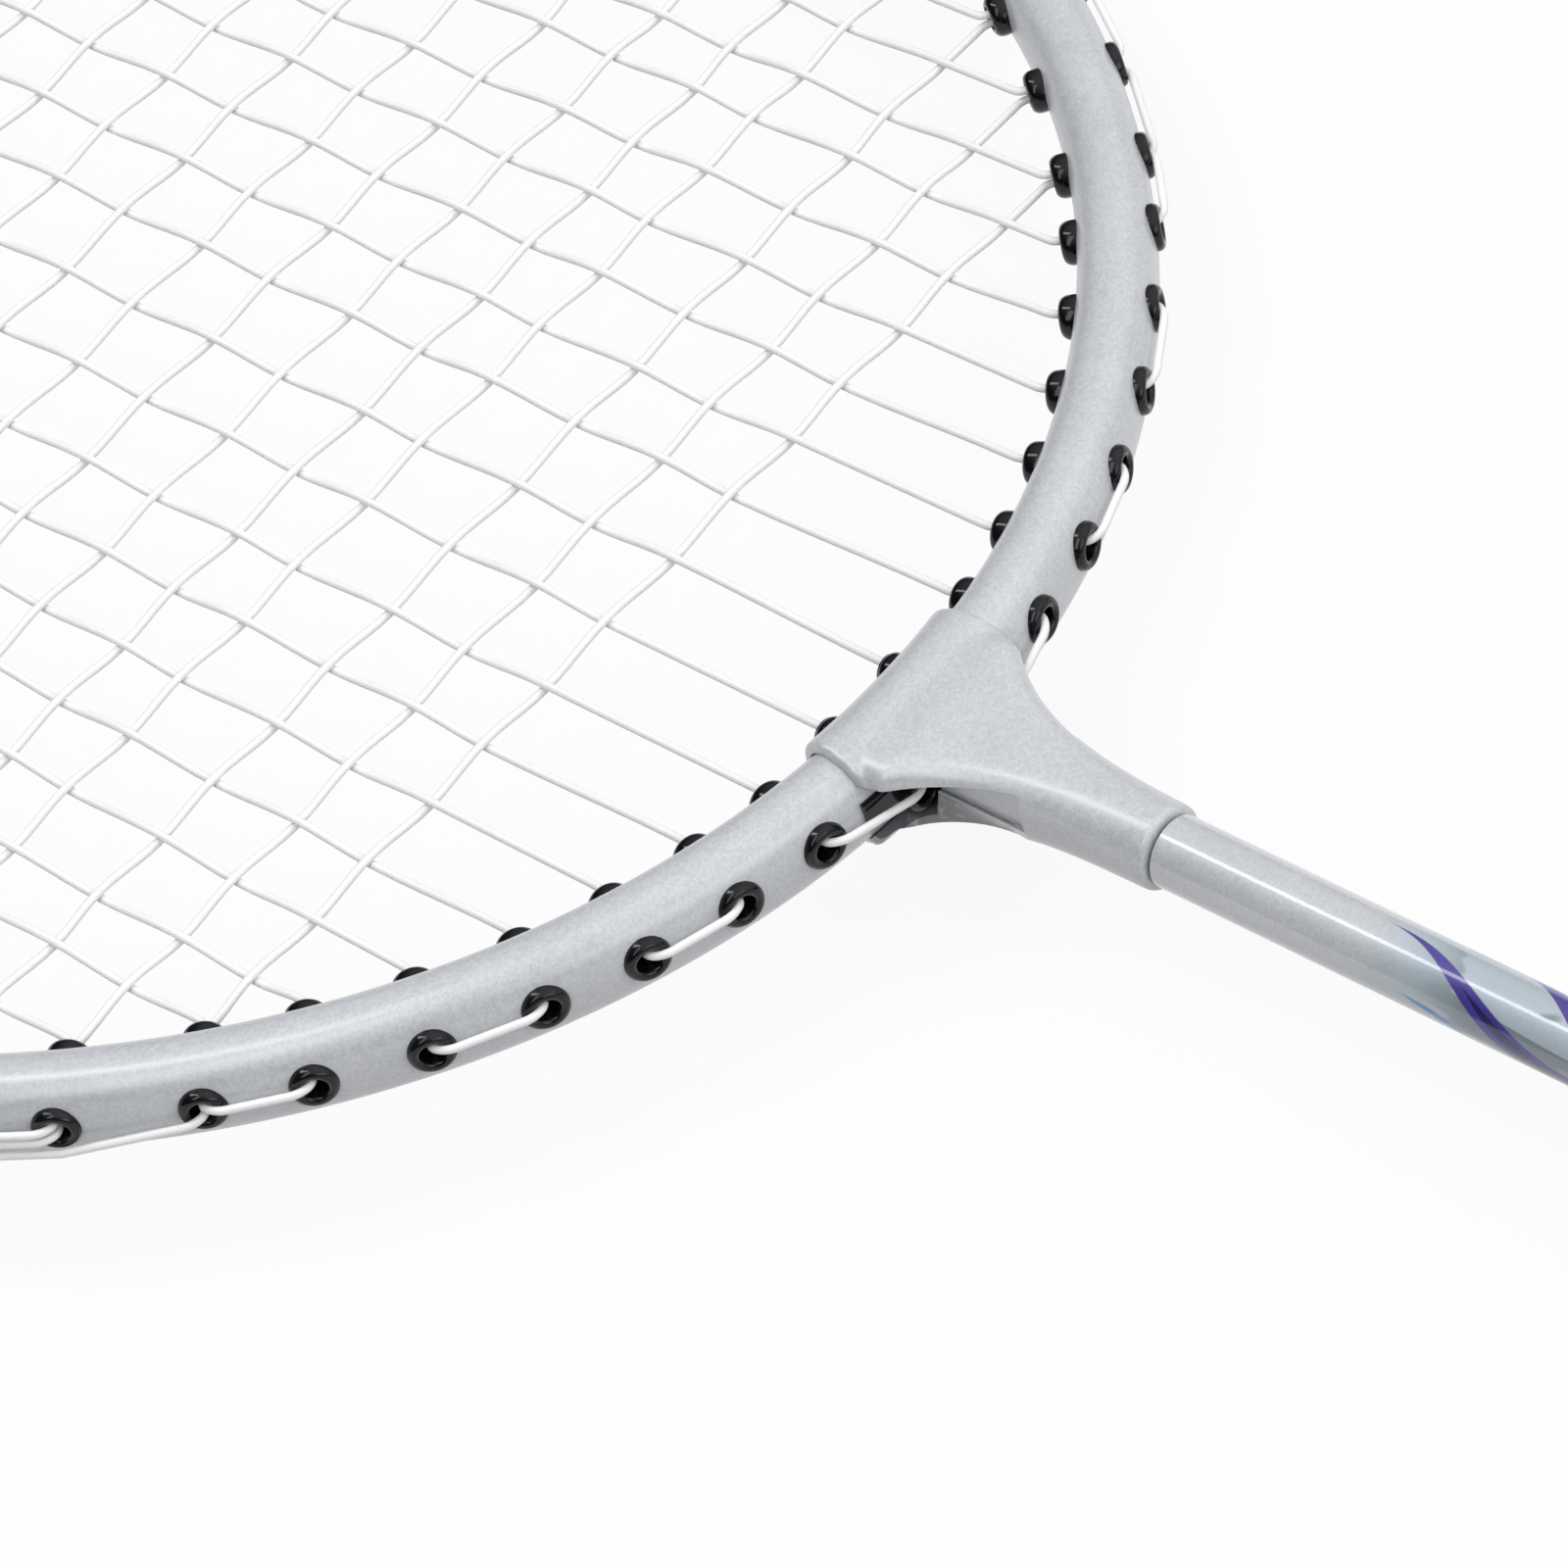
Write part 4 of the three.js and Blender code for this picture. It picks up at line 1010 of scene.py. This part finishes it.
# Each sharp corner becomes a short arc
def softBends(points):
    soft, tiny = [points[0]], 1e-6
    for before, here, after in zip(points, points[1:], points[2:]):
        back, on = before - here, after - here
        short = min(back.length, on.length)
        if short < tiny or math.degrees(back.angle(-on)) < stringing["bendFrom"]:
            soft.append(here)
            continue
        reach = min(stringing["bendReach"], short * stringing["bendShare"])
        start, end = here + back.normalized() * reach, here + on.normalized() * reach
        for share in sharesOf(stringing["bendSteps"]):
            soft.append(start * (1 - share) ** 2 + here * (2 * share * (1 - share)) + end * share ** 2)
    soft.append(points[-1])
    return soft


mainCount = len(stringing["mainShares"])


def mainEnds(index, side):
    rise = stringing["layerRise"]
    return [insideTurn(holeWith(key, index), side, rise) for key in ("mainBottom", "mainTop")]


def crossEnds(index):
    return [insideTurn(holeWith("cross", index), side, -stringing["layerRise"]) for side in (-1, 1)]


# From start to end through the crossings, each a share of the way and a height there
def weave(start, end, crossings):
    clear, steps = stringing["clearShare"], stringing["stepsPerCrossing"]
    between = [crossing for crossing in sorted(crossings) if clear < crossing[0] < 1 - clear]
    knots = [(0.0, start.z), *between, (1.0, end.z)]
    points = []
    for (shareA, riseA), (shareB, riseB) in zip(knots, knots[1:]):
        for step in range(steps):
            point = start.lerp(end, shareA + (shareB - shareA) * step / steps)
            point.z = riseA + (riseB - riseA) * ease(step / steps)
            points.append(point)
    return [*points, end]


# Height where a main and a cross meet, of the main with layer 1 and of the cross with layer -1
def weaveRise(main, side, cross, layer):
    place = main if side > 0 else -1 - main
    above = 1 if (place + cross) % 2 == 0 else -1
    return head["holeRise"] + stringing["weaveRise"] * above * layer


def mainSpan(index, side, upward):
    low, high = mainEnds(index, side)
    crossings = []
    for cross in range(stringing["crossCount"]):
        right = crossEnds(cross)[1]
        if abs(low.x) < right.x:
            share = (right.y - low.y) / (high.y - low.y)
            crossings.append((share, weaveRise(index, side, cross, 1)))
    span = weave(low, high, crossings)
    return span if upward else span[::-1]


def crossSpan(index, fromRight):
    left, right = crossEnds(index)
    crossings = []
    for side in (-1, 1):
        for main in range(mainCount):
            low, high = mainEnds(main, side)
            if low.y < right.y < high.y:
                share = (low.x - left.x) / (right.x - left.x)
                crossings.append((share, weaveRise(main, side, index, -1)))
    span = weave(left, right, crossings)
    return span[::-1] if fromRight else span


def mainRoute():
    rise, last = stringing["layerRise"], mainCount - 1

    def half(side):
        points = []
        for index in range(mainCount):
            downward = index % 2 == 0
            points += mainSpan(index, side, not downward)
            key = "mainBottom" if downward else "mainTop"
            hole = holeWith(key, index)
            if index < last:
                points += outsideRun(hole, holeWith(key, index + 1), side, rise)
            else:
                points += knotTail(hole, hole + (1 if downward else -1), side, rise)
        return points

    crown = len(holes) - 1
    bridge = []
    for side in (-1, 1):
        over = holePoint(crown, side, collarTop(crown) + stringing["runLift"], rise)
        over.x -= side * stringing["turnLength"]
        bridge.append([holePoint(crown, side, collarTop(crown) - stringRadius, rise), over])
    return half(-1)[::-1] + bridge[0] + bridge[1][::-1] + half(1)


def crossRoute():
    rise, last = -stringing["layerRise"], stringing["crossCount"] - 1
    startHole = holeWith("cross", last)
    points = knotTail(startHole, startHole + 1, 1, rise)[::-1]
    for index in range(last, -1, -1):
        hole = holeWith("cross", index)
        side = 1 if (last - index) % 2 == 0 else -1
        points += crossSpan(index, side > 0)
        if index > 0:
            points += outsideRun(hole, holeWith("cross", index - 1), -side, rise)
        else:
            tieHole = holeWith("mainBottom", mainCount - 1) + stringing["tieHoles"]
            points += knotTail(hole, tieHole, -side, rise, -rise)
    return points


def makeString(name, node, route):
    piece = sweepCord(name, softBends(route), stringRadius, stringing["sides"], whiteString)
    finishPiece(piece, "string_nylon", node)


makeString("mainString", "main_string", mainRoute())
makeString("crossString", "cross_string", crossRoute())


# Shaft
shaft = {"diameter": 6.9, "wall": 0.85, "seat": 48.0, "edge": 0.12, "sides": 64, "rows": 40}
handle = {
    "width": 22.0, "height": 20.0, "bevelShare": 0.3, "length": 170.0, "capFloor": 2.5, "cornerPower": 26,
    "sides": 96, "gripThickness": 1.6, "gripShortfall": 6.5,
}
cone = {
    "length": 28.0, "collar": 4.0, "tip": 5.4, "tipRound": 0.8, "tipSteps": 5, "power": 0.75, "rows": 24,
    "edge": 0.25, "boreRun": 2.0,
}
coreTopY = handle["capFloor"] + racket["gap"] + handle["length"]
coneBottomY = coreTopY + racket["gap"]


# Turns a piece made about +Z so that its axis runs along +Y
def placeOnY(piece):
    piece.data.transform(Matrix.Rotation(-quarterTurn, 4, "X"))
    return piece


def makeShaft():
    outer, edge, rows = shaft["diameter"] / 2, shaft["edge"], shaft["rows"]
    inner = outer - shaft["wall"]
    low, high = coreTopY - shaft["seat"], neckEndY - racket["gap"]
    profile = [(inner, low), (outer - edge, low), (outer, low + edge)]
    profile += [(outer, low + (high - low) * step / rows) for step in range(1, rows)]
    profile += [(outer, high - edge), (outer - edge, high), (inner, high)]
    piece = placeOnY(lathe("shaftTube", profile, shaft["sides"], shaftLacquer))
    finishPiece(piece, "shaft_lacquer", "shaft")


# Handle pieces follow one rounded octagon
def octagonRadius(turn, growth):
    halfWidth, halfHeight = handle["width"] / 2, handle["height"] / 2
    slant = (halfWidth + halfHeight - handle["height"] * handle["bevelShare"]) / math.sqrt(2)
    total = 0.0
    for step in range(8):
        facing = step * math.pi / 4
        distance = slant if step % 2 else (halfWidth if step % 4 == 0 else halfHeight)
        reach = math.cos(turn - facing) / (distance + growth)
        if reach > 0:
            total += reach ** handle["cornerPower"]
    return total ** (-1 / handle["cornerPower"])


def octagonPoint(turn, growth, y):
    radius = octagonRadius(turn, growth)
    return Vector((radius * math.cos(turn), y, radius * math.sin(turn)))


# A ring of the octagon, drawn that share of the way to a circle where one is given
def octagonRing(growth, y, roundTo=None, share=0.0):
    ring = []
    for turn in turnsOf(handle["sides"]):
        point = octagonPoint(turn, growth, 0)
        if roundTo is not None:
            point = point.lerp(point.normalized() * roundTo, share)
        point.y = y
        ring.append(point)
    return ring


def makeCone():
    collarTopY, top, tipRound = coneBottomY + cone["collar"], coneBottomY + cone["length"], cone["tipRound"]
    rings = [octagonRing(-cone["edge"], coneBottomY), octagonRing(0, coneBottomY + cone["edge"])]
    for share in sharesOf(cone["rows"]):
        blend = 1 - (1 - share) ** (1 / cone["power"])
        y = collarTopY + (top - tipRound - collarTopY) * share
        rings.append(octagonRing(0, y, cone["tip"], blend))
    for step in range(1, cone["tipSteps"] + 1):
        turn = quarterTurn * step / cone["tipSteps"]
        radius = cone["tip"] - tipRound * (1 - math.cos(turn))
        rings.append(octagonRing(0, top - tipRound * (1 - math.sin(turn)), radius, 1.0))
    piece = loft("handleCone", rings, material=darkPlastic)
    bore = shaft["diameter"] / 2 + racket["gap"] / 2
    ends = (coneBottomY - cone["boreRun"], top + cone["boreRun"])
    drill = loft("coneBore", [ovalRing(bore, bore, 2, shaft["sides"], y) for y in ends])
    combine(piece, drill, "DIFFERENCE")
    smoothByAngle(piece)
    finishPiece(piece, "dark_plastic", "handle_cone")


cap = {
    "skirt": 12.0, "flare": 1.3, "edge": 0.9, "edgeSteps": 6, "flareShare": 0.5, "neckShare": 0.86,
    "flareSteps": 10, "topEdge": 0.3, "panelInset": 4.0, "panelDepth": 0.5, "panelSlope": 0.4,
    "panelFlat": 1.0, "socketRun": 2.0, "sharpFrom": 30,
}
gripOffset = racket["gap"] + handle["gripThickness"]


def makeCap():
    wide, edge, skirt = gripOffset + cap["flare"], cap["edge"], cap["skirt"]
    panel, depth, topEdge = wide - cap["panelInset"], cap["panelDepth"], cap["topEdge"]
    rings = [octagonRing(panel - cap["panelFlat"], depth), octagonRing(panel, depth),
             octagonRing(panel + cap["panelSlope"], 0)]
    for step in range(cap["edgeSteps"] + 1):
        turn = quarterTurn * step / cap["edgeSteps"]
        rings.append(octagonRing(wide - edge + edge * math.sin(turn), edge * (1 - math.cos(turn))))
    flareEnd, neckStart = skirt * cap["flareShare"], skirt * cap["neckShare"]
    for share in sharesOf(cap["flareSteps"]):
        growth = wide + (gripOffset - wide) * ease(share)
        rings.append(octagonRing(growth, flareEnd + (neckStart - flareEnd) * share))
    rings += [octagonRing(gripOffset, skirt - topEdge), octagonRing(gripOffset - topEdge, skirt)]
    piece = loft("buttCap", rings, material=darkPlastic)
    ends = (handle["capFloor"], skirt + cap["socketRun"])
    socket = loft("socket", [octagonRing(racket["gap"], y) for y in ends])
    combine(piece, socket, "DIFFERENCE")
    smoothByAngle(piece, cap["sharpFrom"])
    finishPiece(piece, "dark_plastic", "butt_cap")


# Grip tape: one strip wound up the handle, its first and last turns trimmed square
wrap = {
    "width": 22.92, "turnGap": 0.18, "startWidth": 1.5, "stepsPerTurn": 120,
    "edge": 0.8, "edgeDrop": 0.55, "crown": 0.18,
}
gripBottomY = cap["skirt"] + racket["gap"]
gripTopY = coreTopY - handle["gripShortfall"]
# Places across the tape, from its lower edge to its upper, as shares of its width
acrossShares = [0, 0.012, 0.035, 0.1, 0.3, 0.5, 0.7, 0.9, 0.965, 0.988, 1]


# How far the tape's skin stands out, at that share of its width and that distance from its edge
def tapeGrowth(share, fromEdge):
    fall = min(max(0.0, 1 - fromEdge / wrap["edge"]), 1)
    crown = wrap["crown"] * (1 - (2 * share - 1) ** 2)
    return gripOffset - wrap["crown"] + crown - wrap["edgeDrop"] * (1 - math.sqrt(1 - fall ** 2))


def makeGrip():
    length, steps, middle = gripTopY - gripBottomY, wrap["stepsPerTurn"], len(acrossShares) // 2
    pitch = wrap["width"] + wrap["turnGap"]
    firstStep = math.ceil(wrap["startWidth"] / pitch * steps)
    lastStep = math.floor((length + wrap["width"] - wrap["startWidth"]) / pitch * steps)
    rings, flat, travelled = [], [], 0.0
    for step in range(firstStep, lastStep + 1):
        turn = -2 * math.pi * step / steps
        upper = step / steps * pitch
        low, high = max(upper - wrap["width"], 0), min(upper, length)
        rows = [low + (high - low) * share for share in acrossShares]
        growths = [tapeGrowth(share, min(y - low, high - y)) for share, y in zip(acrossShares, rows)]
        rows += [high, low]
        growths += [racket["gap"]] * 2
        ring = [octagonPoint(turn, growth, gripBottomY + y) for growth, y in zip(growths, rows)]
        if rings:
            travelled += (ring[middle] - rings[-1][middle]).length
        rings.append(ring)
        flat += [(travelled, y - upper) for y in rows]
    piece = loft("gripWrap", rings, material=gripMaterial)
    layer = piece.data.uv_layers.new(name="tape")
    for corner in piece.data.loops:
        layer.data[corner.index].uv = flat[corner.vertex_index]
    finishPiece(piece, "grip_tape", "grip_wrap")


endTape = {"thickness": 0.4, "overGrip": 9.0, "overCone": 3.5, "slopeSteps": 10, "edge": 0.12}


def makeEndTape():
    gap, thick, soft = racket["gap"], endTape["thickness"], endTape["edge"]
    over, low, high = gripOffset + gap, gripTopY + gap, coneBottomY - gap
    rows = [(over, gripTopY - endTape["overGrip"]), (over, low)]
    for share in sharesOf(endTape["slopeSteps"])[1:-1]:
        rows.append((over + (gap - over) * ease(share), low + (high - low) * share))
    rows += [(gap, high), (gap, coneBottomY + endTape["overCone"])]
    outer = [(growth + thick, y) for growth, y in rows]
    (firstGrowth, firstY), (lastGrowth, lastY) = outer[0], outer[-1]
    outer = [(firstGrowth - soft, firstY), (firstGrowth, firstY + soft), *outer[1:-1],
             (lastGrowth, lastY - soft), (lastGrowth - soft, lastY)]
    rings = [octagonRing(growth, y) for growth, y in [*outer, *reversed(rows)]]
    piece = loft("gripEndTape", rings, closed=True, material=tapeVinyl)
    finishPiece(piece, "end_tape", "grip_end_tape")


makeShaft()
makeCone()
makeCap()
makeGrip()
makeEndTape()

giveMaterial(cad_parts["frame_splice"], plugPlastic)
giveMaterial(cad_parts["handle_core"], handleWood)
print("pieces made")


# Camera at the photograph's viewing angle
photoCamera = {
    "place": (-0.29604, 0.03632, 0.5069), "aim": (-0.01129, 0.43856, 0.0), "up": (0.65822, 0.3643, 0.6588),
    "lens": 182.38, "near": 0.02, "far": 40.0,
}


def makeCamera():
    data = bpy.data.cameras.new("photoCamera")
    data.lens = photoCamera["lens"]
    data.clip_start, data.clip_end = photoCamera["near"], photoCamera["far"]
    camera = newPiece("photoCamera", data)
    place = Vector(photoCamera["place"])
    forward = (Vector(photoCamera["aim"]) - place).normalized()
    right = forward.cross(Vector(photoCamera["up"])).normalized()
    turned = Matrix((right, right.cross(forward), -forward)).transposed().to_4x4()
    camera.matrix_world = Matrix.Translation(place) @ turned
    scene.camera = camera


# Studio: soft lamps, a pale floor and a graded pale sky
studio = {"floorDrop": 0.0006, "floorHalf": 9.0, "floorLight": 0.88, "bounceWhite": 0.36, "floorWhite": 0.9}
lamps = [
    {"name": "stripLamp", "place": (-0.1, 0.93, 0.86), "size": (0.16, 0.7), "power": 2.4},
    {"name": "softLamp", "place": (-0.58, 0.32, 0.84), "size": (0.32, 0.9), "power": 2.3},
    {"name": "fillLamp", "place": (-0.05, -0.55, 0.5), "size": (0.9, 0.5), "power": 2.2},
]
lampAim = Vector((0, 0.43, 0))


def makeLamps():
    for lamp in lamps:
        data = bpy.data.lights.new(lamp["name"], "AREA")
        data.shape = "RECTANGLE"
        data.size, data.size_y = lamp["size"]
        data.energy = lamp["power"]
        light = newPiece(lamp["name"], data)
        place = Vector(lamp["place"])
        turned = (lampAim - place).to_track_quat("-Z", "Y").to_matrix().to_4x4()
        light.matrix_world = Matrix.Translation(place) @ turned
        light.visible_camera = False


def makeFloor():
    low, half = cadLow.z - studio["floorDrop"], studio["floorHalf"]
    corners = [(x * half, y * half, low) for x, y in ((-1, -1), (1, -1), (1, 1), (-1, 1))]
    mesh = bpy.data.meshes.new("floor")
    mesh.from_pydata(corners, [], [(0, 1, 2, 3)])
    floor = newPiece("floor", mesh)
    material, tree, shader = newMaterial("floorPaper", Roughness=0.9)
    rays = addNode(tree, "ShaderNodeLightPath").outputs
    seen = calc(tree, "MAXIMUM", rays["Is Camera Ray"], rays["Is Glossy Ray"])
    seen = calc(tree, "MAXIMUM", seen, rays["Is Transmission Ray"])
    level = addNode(tree, "ShaderNodeMapRange", {
        "Value": seen, "To Min": studio["bounceWhite"], "To Max": studio["floorWhite"]}).outputs["Result"]
    tree.links.new(level, shader.inputs["Base Color"])
    glow = addNode(tree, "ShaderNodeEmission", {"Color": (1, 1, 1, 1), "Strength": 1.0})
    mixed = tree.nodes.new("ShaderNodeMixShader")
    tree.links.new(calc(tree, "MULTIPLY", seen, studio["floorLight"]), mixed.inputs[0])
    tree.links.new(shader.outputs[0], mixed.inputs[1])
    tree.links.new(glow.outputs[0], mixed.inputs[2])
    tree.links.new(mixed.outputs[0], tree.nodes["Material Output"].inputs["Surface"])
    mesh.materials.append(material)


# A sky by brightness, from opposite its bright pole to that pole, which leans to +X and to the butt
sky = {
    "levels": [(0.0, 0.2), (0.45, 0.04), (0.62, 0.15), (0.8, 0.7), (1.0, 1.45)], "pole": (0.45, -0.35, 0.82),
    "strength": 0.9, "blue": 1.01,
}


def makeSky():
    world = bpy.data.worlds.new("paleSky")
    scene.world = world
    world.use_nodes = True
    tree = world.node_tree
    facing = addNode(tree, "ShaderNodeTexCoord").outputs["Generated"]
    height = addNode(tree, "ShaderNodeVectorMath", operation="DOT_PRODUCT")
    tree.links.new(facing, height.inputs[0])
    height.inputs[1].default_value = Vector(sky["pole"]).normalized()
    share = addNode(tree, "ShaderNodeMapRange", {
        "Value": height.outputs["Value"], "From Min": -1.0, "From Max": 1.0}).outputs["Result"]
    ramp = addNode(tree, "ShaderNodeValToRGB", {"Fac": share})
    stops = ramp.color_ramp.elements
    while len(stops) < len(sky["levels"]):
        stops.new(0.5)
    for stop, (place, level) in zip(stops, sky["levels"]):
        stop.position = place
        stop.color = (level, level, level * sky["blue"], 1)
    light = tree.nodes["Background"]
    tree.links.new(ramp.outputs["Color"], light.inputs["Color"])
    light.inputs["Strength"].default_value = sky["strength"]


makeCamera()
makeLamps()
makeFloor()
makeSky()
print("studio made")
